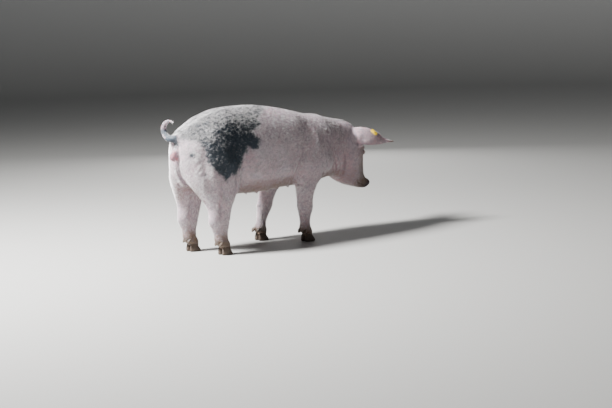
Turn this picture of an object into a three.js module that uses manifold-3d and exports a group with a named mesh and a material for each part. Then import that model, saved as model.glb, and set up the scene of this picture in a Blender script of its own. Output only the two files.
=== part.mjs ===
// A domestic sow, standing with her head lowered to graze, as a life-size still model.
// Millimetres. +X runs forward to the snout, +Y to the sow's left, +Z up from the floor.
// She is drawn over x = 0 at mid-body. The whole group is then moved so that the origin is on the
// floor under the centre of her box.

import * as THREE from "three";
import { LoftGeometry } from "three/addons/geometries/LoftGeometry.js";
import { mergeVertices } from "three/addons/utils/BufferGeometryUtils.js";
import Module from "manifold-3d";

// ---------------------------------------------------------------- sizes: trunk, neck and head

const GAP = 0.3; // clearance left by every cut between two pieces
const RIGHT = -1;
const LEFT = 1;
const SIDES = [
  { side: RIGHT, word: "right" },
  { side: LEFT, word: "left" },
];

// Stations from the rump to the muzzle: a point on the back line, the point under it on the belly
// line, half the width there, the share of the height at which the body is widest, and squareness.
const STATIONS = [
  { back: [-634, 676], belly: [-634, 566], half: 50, widest: 0.5, square: 2.1 },
  { back: [-616, 700], belly: [-614, 470], half: 96, widest: 0.5, square: 2.2 },
  { back: [-570, 739], belly: [-552, 400], half: 138, widest: 0.52, square: 2.25 },
  { back: [-478, 785], belly: [-472, 366], half: 168, widest: 0.54, square: 2.35 },
  { back: [-375, 818], belly: [-375, 336], half: 178, widest: 0.52, square: 2.35 },
  { back: [-250, 833], belly: [-255, 316], half: 183, widest: 0.48, square: 2.3 },
  { back: [-120, 831], belly: [-125, 313], half: 188, widest: 0.45, square: 2.3 },
  { back: [10, 815], belly: [5, 319], half: 190, widest: 0.45, square: 2.3 },
  { back: [130, 793], belly: [115, 325], half: 184, widest: 0.46, square: 2.3 },
  { back: [222, 768], belly: [205, 325], half: 176, widest: 0.48, square: 2.25 },
  { back: [300, 750], belly: [285, 329], half: 171, widest: 0.49, square: 2.15 },
  { back: [378, 744], belly: [350, 336], half: 163, widest: 0.49, square: 2.15 },
  { back: [458, 718], belly: [410, 344], half: 148, widest: 0.47, square: 2.15 },
  { back: [538, 700], belly: [455, 349], half: 134, widest: 0.44, square: 2.2 },
  { back: [615, 681], belly: [492, 347], half: 123, widest: 0.4, square: 2.25 },
  { back: [676, 653], belly: [522, 332], half: 116, widest: 0.38, square: 2.25 },
  { back: [714, 607], belly: [552, 313], half: 111, widest: 0.37, square: 2.2 },
  { back: [733, 550], belly: [584, 297], half: 103, widest: 0.38, square: 2.2 },
  { back: [743, 494], belly: [616, 285], half: 88, widest: 0.38, square: 2.15 },
  { back: [747, 441], belly: [647, 275], half: 71, widest: 0.41, square: 2.2 },
  { back: [749, 393], belly: [675, 267], half: 58, widest: 0.45, square: 2.25 },
  { back: [757, 349], belly: [698, 261], half: 51, widest: 0.48, square: 2.2 },
  { back: [770, 321], belly: [715, 257], half: 46, widest: 0.5, square: 2.2 },
  { back: [778, 307], belly: [731, 254], half: 43, widest: 0.5, square: 2.2 },
];
const BODY_RING = 24; // points round the body
const LAST = STATIONS.length - 1;
const HEAD_FROM = 14; // from this station on, the sections are twice as close

// The bony ridge over each eye.
const BROW = { at: [699, 61, 520], radii: [34, 21, 15], pitch: 24 };

// The round rooting disc that caps the muzzle, a little wider than the muzzle behind it.
const DISC = { centre: [768, 281], tilt: 50, halfWidth: 48, halfHeight: 35, depth: 24 };
const DISC_STEPS = [
  { at: -1, size: 0.86 },
  { at: -0.4, size: 0.98 },
  { at: 0, size: 1 },
  { at: 0.3, size: 0.96 },
  { at: 0.45, size: 0.84 },
];

// Two blind holes in the face of the disc.
const NOSTRIL = { apart: 17, up: 3, radius: 7.5, depth: 11 };

// The vulva, a small fold hanging under the tail.
const VULVA = { at: [-634, 0, 588], radii: [19, 17, 38], pitch: 22 };

// An eyeball, on the section at a place between two stations, at an angle up from the side.
const EYE_BALL = { radius: 13, station: 17.3, angle: 44, sunk: 10.5 };

// Planes that part the pieces: a point on the plane and the way it faces.
const NECK_CUT = { point: [405, 0, 545], facing: [1, 0, -0.12] };
const HEAD_CUT = { point: [540, 0, 500], facing: [1, 0, -0.31] };
const TAIL_CUT = { point: [-634, 0, 670], facing: [-1, 0.1, 0.1] };
const EAR_CUT = { point: [655, -92, 604], facing: [0.8, -0.6, -0.05] };
const MOUTH_CUT = { point: [700, 0, 290], facing: [-0.536, 0, -0.844] };
const MOUTH_CORNER_CUT = { point: [652, 0, 322], facing: [0.844, 0, -0.536] };

// ---------------------------------------------------------------- sizes: legs and feet

// Each leg is level sections from the shoulder or hip to the foot: height, the rear and front
// edges, the inner and outer edges measured from the midline, and how far the rear leans toward
// the midline. The right legs stand as listed.
const FORELEG = [
  { z: 690, x: [215, 330], y: [70, 132], lean: 0 },
  { z: 640, x: [180, 372], y: [55, 160], lean: 0 },
  { z: 560, x: [152, 420], y: [48, 182], lean: 0 },
  { z: 480, x: [136, 436], y: [46, 190], lean: 0 },
  { z: 420, x: [128, 394], y: [50, 189], lean: 0 },
  { z: 378, x: [126, 330], y: [60, 183], lean: 0 },
  { z: 335, x: [127, 286], y: [72, 174], lean: 0 },
  { z: 290, x: [130, 258], y: [80, 165], lean: 0 },
  { z: 245, x: [134, 248], y: [84, 159], lean: 0 },
  { z: 205, x: [138, 244], y: [84, 157], lean: 0 },
  { z: 175, x: [142, 240], y: [85, 156], lean: 0 },
  { z: 145, x: [148, 230], y: [88, 153], lean: 0 },
  { z: 112, x: [154, 222], y: [90, 150], lean: 0 },
  { z: 84, x: [150, 226], y: [86, 154], lean: 0 },
  { z: 58, x: [162, 238], y: [84, 156], lean: 0 },
  { z: 34, x: [176, 244], y: [87, 153], lean: 0 },
];
const HINDLEG = [
  { z: 722, x: [-556, -405], y: [44, 126], lean: 10 },
  { z: 670, x: [-616, -345], y: [22, 164], lean: 25 },
  { z: 600, x: [-636, -300], y: [8, 184], lean: 40 },
  { z: 520, x: [-638, -278], y: [4, 191], lean: 50 },
  { z: 450, x: [-620, -276], y: [6, 190], lean: 36 },
  { z: 395, x: [-592, -290], y: [20, 185], lean: 28 },
  { z: 345, x: [-558, -316], y: [46, 176], lean: 18 },
  { z: 300, x: [-526, -340], y: [64, 174], lean: 8 },
  { z: 258, x: [-508, -354], y: [72, 167], lean: 0 },
  { z: 218, x: [-509, -361], y: [76, 162], lean: 0 },
  { z: 186, x: [-506, -368], y: [78, 160], lean: 0 },
  { z: 155, x: [-494, -376], y: [81, 157], lean: 0 },
  { z: 120, x: [-478, -386], y: [85, 153], lean: 0 },
  { z: 88, x: [-474, -386], y: [83, 155], lean: 0 },
  { z: 60, x: [-458, -370], y: [82, 156], lean: 0 },
  { z: 34, x: [-440, -362], y: [85, 153], lean: 0 },
];
const LEG_RING = 12; // points round a leg
const LEG_STEPS = 15; // sections down a leg
const LEG_SQUARE = 2.2;

// Which part of the trunk a leg takes with it: an oval over the shoulder or hip, seen from the
// side, down to an inner plane. claws is where the middle of a right foot's claws stands.
const FORE = {
  table: FORELEG,
  claws: 202,
  oval: { x: 268, z: 500, halfX: 152, halfZ: 175 },
  inner: 40,
};
const HIND = {
  table: HINDLEG,
  claws: -410,
  oval: { x: -470, z: 555, halfX: 175, halfZ: 160 },
  inner: GAP / 2,
};
const POST_HEIGHTS = [-20, 110, 200, 300, 350, 420, 540]; // the cut follows a leg through these
const POST_MARGIN = 14;

// The left legs stand back of the right ones by reach at the floor, eased out to 0 at top.
const LEGS = [
  { name: "foreleg_right", side: RIGHT, pair: FORE, reach: 0, top: 500, ease: 1 },
  { name: "foreleg_left", side: LEFT, pair: FORE, reach: -162, top: 500, ease: 1.4 },
  { name: "hindleg_right", side: RIGHT, pair: HIND, reach: 0, top: 560, ease: 1 },
  { name: "hindleg_left", side: LEFT, pair: HIND, reach: -52, top: 560, ease: 2.2 },
];

// A claw's heel and toe are measured from its middle, and each pair stands apart on both sides of
// the leg's middle line. The dewclaws hang behind the fetlock.
const FOOT_Y = 120;
const CLAW = { height: 46, heel: 32, toe: 44, half: 18, apart: 19.5, splay: 5, ring: 10 };
const CLAW_LEVELS = [
  { z: 0, heel: 0.86, toe: 0.9, wide: 0.86 },
  { z: 7, heel: 0.97, toe: 1, wide: 1 },
  { z: 26, heel: 0.9, toe: 0.7, wide: 0.97 },
  { z: CLAW.height, heel: 0.66, toe: 0.36, wide: 0.82 },
];
const DEWCLAW = { back: -40, apart: 22, z: 78, length: 34, half: 12, rake: 14, ring: 6 };
const DEWCLAW_LEVELS = [
  { at: 0, size: 0.8 },
  { at: 0.35, size: 1 },
  { at: 0.75, size: 0.75 },
  { at: 1, size: 0.3 },
];

// ---------------------------------------------------------------- sizes: ears, tag and tail

// The middle line of the right ear, from the skull to the tip, and its breadth along the way.
const EAR_LINE = [
  [598, -70, 604],
  [650, -104, 599],
  [700, -127, 590],
  [745, -142, 577],
  [785, -152, 561],
  [828, -160, 548],
  [882, -168, 541],
];
const EAR_BREADTH = [
  { half: 48, cup: 80, thick: 20 },
  { half: 58, cup: 64, thick: 10 },
  { half: 58, cup: 50, thick: 7 },
  { half: 50, cup: 42, thick: 6 },
  { half: 36, cup: 36, thick: 6 },
  { half: 16, cup: 32, thick: 5 },
  { half: 4, cup: 30, thick: 4 },
];
const EAR_FACE = [-0.18, -0.92, 0.36]; // the way the hairy back of the right ear faces
const EAR_STEPS = 10;
const EAR_ARC = 6; // points along each face of a section

// The tag in the right ear: a plate with cut corners on the hairy side, a button on the bare side,
// and the pin that joins them through the ear.
const TAG_AT = { share: 0.46, angle: -20, turn: -40 }; // along the ear, round it, and about its pin
const TAG_PLATE = { length: 44, width: 27, thick: 2.4, corner: 5, off: 2 };
const TAG_STUD = { radius: 7, from: 0.5, to: 6 };
const TAG_PIN = 3; // radius
const TAG_BUTTON = { radius: 10, thick: 3, off: 2.6 };

// The tail rises from the croup and curls once over to the left.
const TAIL_LINE = [
  [-585, 0, 674],
  [-622, -6, 676],
  [-645, 10, 671],
  [-650, 48, 674],
  [-651, 80, 702],
  [-650, 84, 735],
  [-648, 62, 760],
  [-645, 26, 771],
  [-645, -8, 762],
];
const TAIL_RADIUS = [32, 22, 17.5, 16, 14.5, 12.5, 10.5, 8.5, 4.5];
const TAIL_STEPS = 16;
const TAIL_RING = 7;

// ---------------------------------------------------------------- solids and nodes

const wasm = await Module();
wasm.setup();

const FLESH = new THREE.MeshStandardMaterial({ color: 0xdcc0ba, roughness: 0.75 });
const DISC_SKIN = new THREE.MeshStandardMaterial({ color: 0x8f6f6c, roughness: 0.6 });
const HORN = new THREE.MeshStandardMaterial({ color: 0x5a4a3c, roughness: 0.55 });
const EYE = new THREE.MeshStandardMaterial({ color: 0x2a1a12, roughness: 0.1 });
const TAG = new THREE.MeshStandardMaterial({ color: 0xe8c81e, roughness: 0.4 });

const model = new THREE.Group();

function solidOf(geometry) {
  const bare = geometry.index ? geometry.toNonIndexed() : geometry.clone();
  bare.deleteAttribute("normal");
  bare.deleteAttribute("uv");
  const merged = mergeVertices(bare, 1e-3);
  return new wasm.Manifold(
    new wasm.Mesh({
      numProp: 3,
      vertProperties: new Float32Array(merged.attributes.position.array),
      triVerts: new Uint32Array(merged.index.array),
    }),
  );
}

const union = (solids) => solids.reduce((sum, solid) => sum.add(solid));
const placed = (solid, matrix) => solid.transform(matrix.elements);

function addNode(name, solid, material) {
  const mesh = solid.getMesh();
  const geometry = new THREE.BufferGeometry();
  geometry.setAttribute("position", new THREE.BufferAttribute(mesh.vertProperties, 3));
  geometry.setIndex(new THREE.BufferAttribute(mesh.triVerts, 1));
  geometry.computeVertexNormals();
  const node = new THREE.Mesh(geometry, material);
  node.name = name;
  model.add(node);
}

const radians = THREE.MathUtils.degToRad;
const vector = (x, y, z) => new THREE.Vector3(x, y, z);
const curveThrough = (points) => new THREE.CatmullRomCurve3(points, false, "centripetal");

// One rounded cross section. The three arms run from the centre to the section's extremes: side
// to both sides, up and down one way each. Squareness 2 makes an ellipse, and more a fuller curve.
function ring(centre, side, up, down, squareness, count) {
  const points = [];
  for (let i = 0; i < count; i++) {
    const angle = ((i + 0.5) / count) * Math.PI * 2;
    const c = Math.cos(angle);
    const s = Math.sin(angle);
    const across = Math.sign(c) * Math.abs(c) ** (2 / squareness);
    const along = Math.abs(s) ** (2 / squareness);
    const arm = s > 0 ? up : down;
    points.push(centre.clone().addScaledVector(side, across).addScaledVector(arm, along));
  }
  return points;
}

const evenRing = (centre, side, up, squareness, count) =>
  ring(centre, side, up, up.clone().negate(), squareness, count);

const middleOf = (points) =>
  points.reduce((sum, p) => sum.add(p), vector(0, 0, 0)).divideScalar(points.length);

// A closed loft through the rings, each wound so that the wall faces out.
function loft(rings) {
  const middle = middleOf(rings[0]);
  const heading = middleOf(rings[1]).sub(middle);
  const spin = vector(0, 0, 0);
  rings[0].forEach((p, i) => {
    const next = rings[0][(i + 1) % rings[0].length];
    spin.add(p.clone().sub(middle).cross(next.clone().sub(middle)));
  });
  const wound = spin.dot(heading) > 0 ? rings : rings.map((points) => points.slice().reverse());
  return solidOf(new LoftGeometry(wound, { capStart: true, capEnd: true }));
}

// An egg-shaped lump, pitched nose down by some degrees.
function lump({ at, radii, pitch }, side, grow) {
  const ball = new THREE.SphereGeometry(1, 10, 7);
  ball.scale(...radii.map((r) => r + grow));
  ball.rotateY(radians(pitch));
  ball.translate(at[0], side * at[1], at[2]);
  return solidOf(ball);
}

// Everything ahead of a plane, as one large block. A positive shift moves the plane ahead.
function ahead({ point, facing }, shift = 0) {
  const size = 2400;
  const way = vector(...facing).normalize();
  const block = new THREE.BoxGeometry(size, size, size);
  block.translate(size / 2 + shift, 0, 0);
  block.applyQuaternion(new THREE.Quaternion().setFromUnitVectors(vector(1, 0, 0), way));
  block.translate(...point);
  return solidOf(block);
}

const mirrored = ({ point, facing }, side) => ({
  point: [point[0], -side * point[1], point[2]],
  facing: [facing[0], -side * facing[1], facing[2]],
});

// ---------------------------------------------------------------- trunk, neck and head

const backLine = curveThrough(STATIONS.map((s) => vector(s.back[0], 0, s.back[1])));
const bellyLine = curveThrough(STATIONS.map((s) => vector(s.belly[0], 0, s.belly[1])));
const PERCENT = 100; // keeps the two shares on a like scale with the half width
const girthLine = curveThrough(
  STATIONS.map((s) => vector(s.half, s.widest * PERCENT, s.square * PERCENT)),
);

const lengthened = (arm, extra) => arm.setLength(arm.length() + extra);

// The section at a station, or at a place between two: its centre and its arms.
function bodySection(station, grow = 0) {
  const back = backLine.getPoint(station / LAST);
  const belly = bellyLine.getPoint(station / LAST);
  const girth = girthLine.getPoint(station / LAST);
  const centre = belly.clone().lerp(back, girth.y / PERCENT);
  return {
    centre,
    side: vector(0, girth.x + grow, 0),
    up: lengthened(back.sub(centre), grow),
    down: lengthened(belly.sub(centre), grow),
    square: girth.z / PERCENT,
  };
}

function bodySolid(grow) {
  const rings = [];
  for (let i = 0; i <= LAST; i += i < HEAD_FROM ? 1 : 0.5) {
    const s = bodySection(i, grow);
    rings.push(ring(s.centre, s.side, s.up, s.down, s.square, BODY_RING));
  }
  return loft(rings);
}

function eyeSolid(side, grow) {
  const { radius, station, angle, sunk } = EYE_BALL;
  const s = bodySection(station);
  const skin = s.centre
    .clone()
    .addScaledVector(s.side, side * Math.cos(radians(angle)) ** (2 / s.square))
    .addScaledVector(s.up, Math.sin(radians(angle)) ** (2 / s.square));
  const inward = s.centre.clone().sub(skin).normalize();
  const centre = skin.addScaledVector(inward, sunk);
  const ball = new THREE.SphereGeometry(radius + grow, 8, 6);
  ball.translate(centre.x, centre.y, centre.z);
  return solidOf(ball);
}

const discAxis = vector(1, 0, 0).applyAxisAngle(vector(0, 1, 0), radians(DISC.tilt));
const discUp = vector(0, 0, 0).crossVectors(discAxis, vector(0, 1, 0));
const discPoint = (y, up, at) =>
  vector(DISC.centre[0], y, DISC.centre[1])
    .addScaledVector(discUp, up)
    .addScaledVector(discAxis, at);

function discSolid(grow) {
  const rings = DISC_STEPS.map(({ at, size }) => {
    const centre = discPoint(0, 0, DISC.depth * at + Math.sign(at) * grow);
    const side = vector(0, DISC.halfWidth * size + grow, 0);
    const up = discUp.clone().multiplyScalar(DISC.halfHeight * size + grow);
    return evenRing(centre, side, up, 2.2, 16);
  });
  return loft(rings);
}

function nostril(side) {
  const { apart, up, radius, depth } = NOSTRIL;
  const hole = new THREE.CylinderGeometry(radius, radius * 0.6, 2 * depth, 8);
  hole.applyQuaternion(new THREE.Quaternion().setFromUnitVectors(vector(0, 1, 0), discAxis));
  const face = DISC.depth * DISC_STEPS[DISC_STEPS.length - 1].at;
  hole.translate(...discPoint(side * apart, up, face));
  return solidOf(hole);
}

// ---------------------------------------------------------------- legs

const swing = ({ reach, top, ease }, z) =>
  z >= top ? 0 : reach * (1 - (Math.max(z, 0) / top) ** ease);

function legSolid(leg) {
  const { side, pair } = leg;
  const length = curveThrough(pair.table.map((s) => vector(s.x[0], s.x[1], s.z)));
  const breadth = curveThrough(pair.table.map((s) => vector(s.y[0], s.y[1], s.lean)));
  const rings = [];
  for (let i = 0; i <= LEG_STEPS; i++) {
    const { x: rear, y: front, z } = length.getPoint(i / LEG_STEPS);
    const { x: inner, y: outer, z: lean } = breadth.getPoint(i / LEG_STEPS);
    const centre = vector((rear + front) / 2 + swing(leg, z), (side * (inner + outer)) / 2, z);
    const forward = vector((front - rear) / 2, side * lean, 0);
    const out = vector(0, (outer - inner) / 2, 0);
    rings.push(evenRing(centre, forward, out, LEG_SQUARE, LEG_RING));
  }
  return loft(rings);
}

// The rear and front edges of a leg at a height, in a line from row to row.
function legSpan(leg, height) {
  const { table } = leg.pair;
  const lowest = table.length - 2;
  const i = table.findIndex((row, k) => k === lowest || table[k + 1].z <= height);
  const [over, under] = [table[i], table[i + 1]];
  const share = THREE.MathUtils.clamp((over.z - height) / (over.z - under.z), 0, 1);
  return [0, 1].map((end) => {
    const edge = THREE.MathUtils.lerp(over.x[end], under.x[end], share);
    return edge + swing(leg, height);
  });
}

// All that goes with one leg: the oval, and below it a post that follows the leg to the floor.
function quarterBlock(leg, grow) {
  const { oval, inner } = leg.pair;
  const reach = 400;
  const round = new THREE.CylinderGeometry(1, 1, 2 * reach, 22);
  round.scale(oval.halfX + grow, 1, oval.halfZ + grow);
  round.translate(oval.x, 0, oval.z);
  const post = POST_HEIGHTS.map((height, i) => {
    const [rear, front] = legSpan(leg, height);
    const from = rear - POST_MARGIN - grow;
    const to = front + POST_MARGIN + grow;
    const level = height + (i === POST_HEIGHTS.length - 1 ? grow : 0);
    return [
      vector(from, -reach, level),
      vector(to, -reach, level),
      vector(to, reach, level),
      vector(from, reach, level),
    ];
  });
  const ownSide = { point: [0, leg.side * (inner - grow), 0], facing: [0, leg.side, 0] };
  return solidOf(round).add(loft(post)).intersect(ahead(ownSide));
}

// ---------------------------------------------------------------- feet

// Lengthens a stack of levels by grow at both ends.
const endShift = (levels, i, grow) => (i === 0 ? -grow : i === levels.length - 1 ? grow : 0);

// One horny toe, flat underneath, its front wall sloping back to the coronet.
function clawSolid(grow) {
  const rings = CLAW_LEVELS.map(({ z, heel, toe, wide }, i) => {
    const centre = vector(0, 0, z + endShift(CLAW_LEVELS, i, grow));
    const side = vector(0, CLAW.half * wide + grow, 0);
    const front = vector(CLAW.toe * toe + grow, 0, 0);
    const back = vector(-CLAW.heel * heel - grow, 0, 0);
    const points = ring(centre, side, front, back, 2, CLAW.ring);
    for (const p of points) {
      if (p.x > 0) p.y *= 1 - 0.25 * (p.x / CLAW.toe) ** 2;
    }
    return points;
  });
  return loft(rings);
}

// A small spur of horn behind the fetlock, pointing down and back.
function dewclawSolid(grow) {
  const rings = DEWCLAW_LEVELS.map(({ at, size }, i) => {
    const drop = DEWCLAW.length * at + endShift(DEWCLAW_LEVELS, i, grow);
    const half = DEWCLAW.half * size + grow;
    const centre = vector(-DEWCLAW.rake * at, 0, -drop);
    return evenRing(centre, vector(0, half, 0), vector(half * 0.8, 0, 0), 2, DEWCLAW.ring);
  });
  return loft(rings);
}

// The four horn pieces of one foot, each with its name, its shape and its place.
function hornPieces(leg) {
  const x = leg.pair.claws + swing(leg, 0);
  const y = leg.side * FOOT_Y;
  return SIDES.flatMap(({ side }) => {
    const which = side === leg.side ? "outer" : "inner";
    const claw = new THREE.Matrix4()
      .makeTranslation(x, y + side * CLAW.apart, 0)
      .multiply(new THREE.Matrix4().makeRotationZ(radians(side * CLAW.splay)));
    const dewclaw = new THREE.Matrix4().makeTranslation(
      x + DEWCLAW.back,
      y + side * DEWCLAW.apart,
      DEWCLAW.z,
    );
    return [
      { name: `${leg.name}_claw_${which}`, shape: clawSolid, place: claw },
      { name: `${leg.name}_dewclaw_${which}`, shape: dewclawSolid, place: dewclaw },
    ];
  });
}

// ---------------------------------------------------------------- ears, tag and tail

// The ear's section at a share of the way to the tip: an arc about a centre line.
function earSection(side, share) {
  const middle = curveThrough(EAR_LINE.map(([x, y, z]) => vector(x, -side * y, z)));
  const breadth = curveThrough(EAR_BREADTH.map((b) => vector(b.half, b.cup, b.thick)));
  const face = vector(EAR_FACE[0], -side * EAR_FACE[1], EAR_FACE[2]).normalize();
  const { x: half, y: cup, z: thick } = breadth.getPoint(share);
  const along = middle.getTangent(share);
  const across = along.clone().cross(face).normalize();
  const out = across.clone().cross(along).normalize();
  const bend = radians(cup);
  const radius = half / Math.sin(bend);
  const centre = middle.getPoint(share).addScaledVector(out, -radius * Math.cos(bend * 0.6));
  const normal = (angle) =>
    out.clone().multiplyScalar(Math.cos(angle)).addScaledVector(across, Math.sin(angle));
  const point = (depth, angle) => centre.clone().addScaledVector(normal(angle), radius - depth);
  return { bend, thick, along, normal, point };
}

// A leaf of skin, cupped so that its hollow side looks forward and inward.
function earSolid(side) {
  const rings = [];
  for (let i = 0; i <= EAR_STEPS; i++) {
    const { bend, thick, point } = earSection(side, i / EAR_STEPS);
    const turns = Array.from({ length: EAR_ARC }, (_, j) => bend * ((2 * j) / (EAR_ARC - 1) - 1));
    const back = turns.map((turn) => point(0, turn));
    const hollow = turns.map((turn) => point(thick, -0.97 * turn));
    rings.push([...back, ...hollow]);
  }
  return loft(rings);
}

// The tag's own frame: z points out of the hairy side of the ear, x along the plate.
function tagPlace() {
  const { thick, along, normal, point } = earSection(RIGHT, TAG_AT.share);
  const z = normal(radians(TAG_AT.angle));
  const x = along.clone().addScaledVector(z, -along.dot(z)).normalize();
  const y = z.clone().cross(x);
  const matrix = new THREE.Matrix4()
    .makeBasis(x, y, z)
    .setPosition(point(0, radians(TAG_AT.angle)))
    .multiply(new THREE.Matrix4().makeRotationZ(radians(TAG_AT.turn)));
  return { matrix, thick };
}

function round(radius, from, to, sides) {
  const disc = new THREE.CylinderGeometry(radius, radius, to - from, sides);
  disc.rotateX(Math.PI / 2);
  disc.translate(0, 0, (from + to) / 2);
  return solidOf(disc);
}

const pinHole = ({ matrix, thick }) =>
  placed(round(TAG_PIN + GAP, -thick - 20, 20, 8), matrix);

function tagSolid({ matrix, thick }) {
  const { length, width, corner, off } = TAG_PLATE;
  const l = length / 2;
  const w = width / 2;
  const outline = new THREE.Shape()
    .moveTo(l - corner, -w)
    .lineTo(l, corner - w)
    .lineTo(l, w - corner)
    .lineTo(l - corner, w)
    .lineTo(corner - l, w)
    .lineTo(-l, w - corner)
    .lineTo(-l, corner - w)
    .lineTo(corner - l, -w);
  const plate = new THREE.ExtrudeGeometry(outline, { depth: TAG_PLATE.thick, bevelEnabled: false });
  plate.translate(0, 0, off);
  const inner = -thick - TAG_BUTTON.off;
  const pieces = [
    solidOf(plate),
    round(TAG_STUD.radius, TAG_STUD.from, TAG_STUD.to, 10),
    round(TAG_PIN, inner - 1, TAG_STUD.from + 1, 8),
    round(TAG_BUTTON.radius, inner - TAG_BUTTON.thick, inner, 12),
  ];
  return placed(union(pieces), matrix);
}

function tailSolid(grow) {
  const line = curveThrough(TAIL_LINE.map((p) => vector(...p)));
  const girth = curveThrough(TAIL_RADIUS.map((r) => vector(r, 0, 0)));
  const frames = line.computeFrenetFrames(TAIL_STEPS);
  const rings = [];
  for (let i = 0; i <= TAIL_STEPS; i++) {
    const radius = girth.getPoint(i / TAIL_STEPS).x + grow;
    const centre = line.getPointAt(i / TAIL_STEPS);
    if (i === 0) centre.addScaledVector(frames.tangents[0], -grow);
    const side = frames.normals[i].clone().multiplyScalar(radius);
    const up = frames.binormals[i].clone().multiplyScalar(radius);
    rings.push(evenRing(centre, side, up, 2, TAIL_RING));
  }
  return loft(rings);
}

// ---------------------------------------------------------------- the whole sow, and her parts

// The tail's root and the vulva stay with the trunk where the hams close round them.
const tailRoot = (grow) => tailSolid(grow).subtract(ahead(TAIL_CUT, grow - GAP));
const keptByTrunk = (grow) => tailRoot(grow).add(lump(VULVA, RIGHT, grow));
const earRoot = (side) => earSolid(side).subtract(ahead(mirrored(EAR_CUT, side), -GAP));

const flesh = union([
  bodySolid(0),
  discSolid(0),
  keptByTrunk(0),
  ...LEGS.map(legSolid),
  ...SIDES.map(({ side }) => lump(BROW, side, 0)),
  ...SIDES.map(({ side }) => earRoot(side)),
]);

let torso = flesh;
for (const leg of LEGS) {
  torso = torso.subtract(quarterBlock(leg, GAP).subtract(keptByTrunk(0)));
}
const front = torso.intersect(ahead(NECK_CUT));
addNode("trunk", torso.subtract(ahead(NECK_CUT, -GAP)), FLESH);
addNode("neck", front.subtract(ahead(HEAD_CUT, -GAP)), FLESH);

const mouth = (shift) => ahead(MOUTH_CUT, shift).intersect(ahead(MOUTH_CORNER_CUT, shift));
const head = front
  .intersect(ahead(HEAD_CUT))
  .subtract(union([discSolid(GAP), eyeSolid(RIGHT, GAP), eyeSolid(LEFT, GAP)]));
addNode("head", head.subtract(mouth(-GAP)), FLESH);
addNode("jaw", head.intersect(mouth(0)), FLESH);
addNode("snout_disc", discSolid(0).subtract(union(SIDES.map(({ side }) => nostril(side)))), DISC_SKIN);

const tag = tagPlace();
for (const { side, word } of SIDES) {
  const ear = earSolid(side).intersect(ahead(mirrored(EAR_CUT, side))).subtract(bodySolid(GAP));
  addNode(`ear_${word}`, side === RIGHT ? ear.subtract(pinHole(tag)) : ear, FLESH);
  addNode(`eye_${word}`, eyeSolid(side, 0), EYE);
}
addNode("ear_tag", tagSolid(tag), TAG);
addNode("tail", tailSolid(0).intersect(ahead(TAIL_CUT)).subtract(bodySolid(GAP)), FLESH);

for (const leg of LEGS) {
  const horn = hornPieces(leg);
  const sockets = horn.map(({ shape, place }) => placed(shape(GAP), place));
  const limb = flesh.intersect(quarterBlock(leg, 0)).subtract(keptByTrunk(GAP));
  addNode(leg.name, limb.subtract(union(sockets)), FLESH);
  for (const { name, shape, place } of horn) addNode(name, placed(shape(0), place), HORN);
}

const box = new THREE.Box3().setFromObject(model);
model.position.set(-(box.min.x + box.max.x) / 2, -(box.min.y + box.max.y) / 2, 0);

export default model;
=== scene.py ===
import math

import bmesh
import bpy
import numpy as np
from mathutils import Matrix, Vector
from mathutils.bvhtree import BVHTree


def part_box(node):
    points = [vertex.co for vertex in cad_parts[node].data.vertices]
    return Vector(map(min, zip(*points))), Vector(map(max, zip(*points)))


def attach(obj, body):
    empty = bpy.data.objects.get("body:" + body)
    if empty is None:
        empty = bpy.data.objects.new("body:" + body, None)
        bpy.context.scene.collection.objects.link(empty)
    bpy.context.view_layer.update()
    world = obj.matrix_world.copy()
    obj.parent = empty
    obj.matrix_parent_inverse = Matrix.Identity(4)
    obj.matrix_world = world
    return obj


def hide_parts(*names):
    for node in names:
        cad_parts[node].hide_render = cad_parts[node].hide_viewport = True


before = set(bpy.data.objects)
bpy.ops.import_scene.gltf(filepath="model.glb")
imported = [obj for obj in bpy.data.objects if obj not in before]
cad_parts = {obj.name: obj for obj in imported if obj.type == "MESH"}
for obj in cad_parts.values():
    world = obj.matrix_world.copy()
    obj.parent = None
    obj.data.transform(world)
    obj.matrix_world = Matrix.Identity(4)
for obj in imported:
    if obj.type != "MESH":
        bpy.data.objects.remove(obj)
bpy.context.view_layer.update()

scene = bpy.context.scene

# ---------------------------------------------------------------- the hide: welded and worn smooth
# A sow's hide is one unbroken skin over fat and muscle. It is made from all the flesh solids at once:
# their inner cut walls are dropped, the rest is welded by a fine voxel remesh, and the facets are worn
# down by moving each point towards the middle of its neighbours.

LEGS = ["foreleg_right", "foreleg_left", "hindleg_right", "hindleg_left"]
FLESH = ["trunk", "neck", "head", "jaw", "snout_disc", "ear_right", "ear_left", "tail", *LEGS]
EYES = ["eye_right", "eye_left"]  # welded in so that the hide closes over them, and opened later
CUT_WIDTH = 0.0006  # the solids stand less than this apart
EAR_RIM = 0.0020  # how far the ears swell before the weld, so that no thin rim is lost between voxels
GRAIN = 0.0026  # the voxel, and the length of the welded mesh's edges
CRUMB = 200  # points: a welded island smaller than this is dropped
WORN = {  # blur radii
    "trunk": 0.022, "legs": 0.009, "head": 0.008, "feet": 0.004, "thin": 0.0045, "ears": 0.0065,
}

solids = {}
for name in FLESH + EYES:
    solids[name] = bmesh.new()
    solids[name].from_mesh(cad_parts[name].data)
    bmesh.ops.remove_doubles(solids[name], verts=solids[name].verts, dist=1e-6)
trees = {name: BVHTree.FromBMesh(solid) for name, solid in solids.items()}

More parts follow.
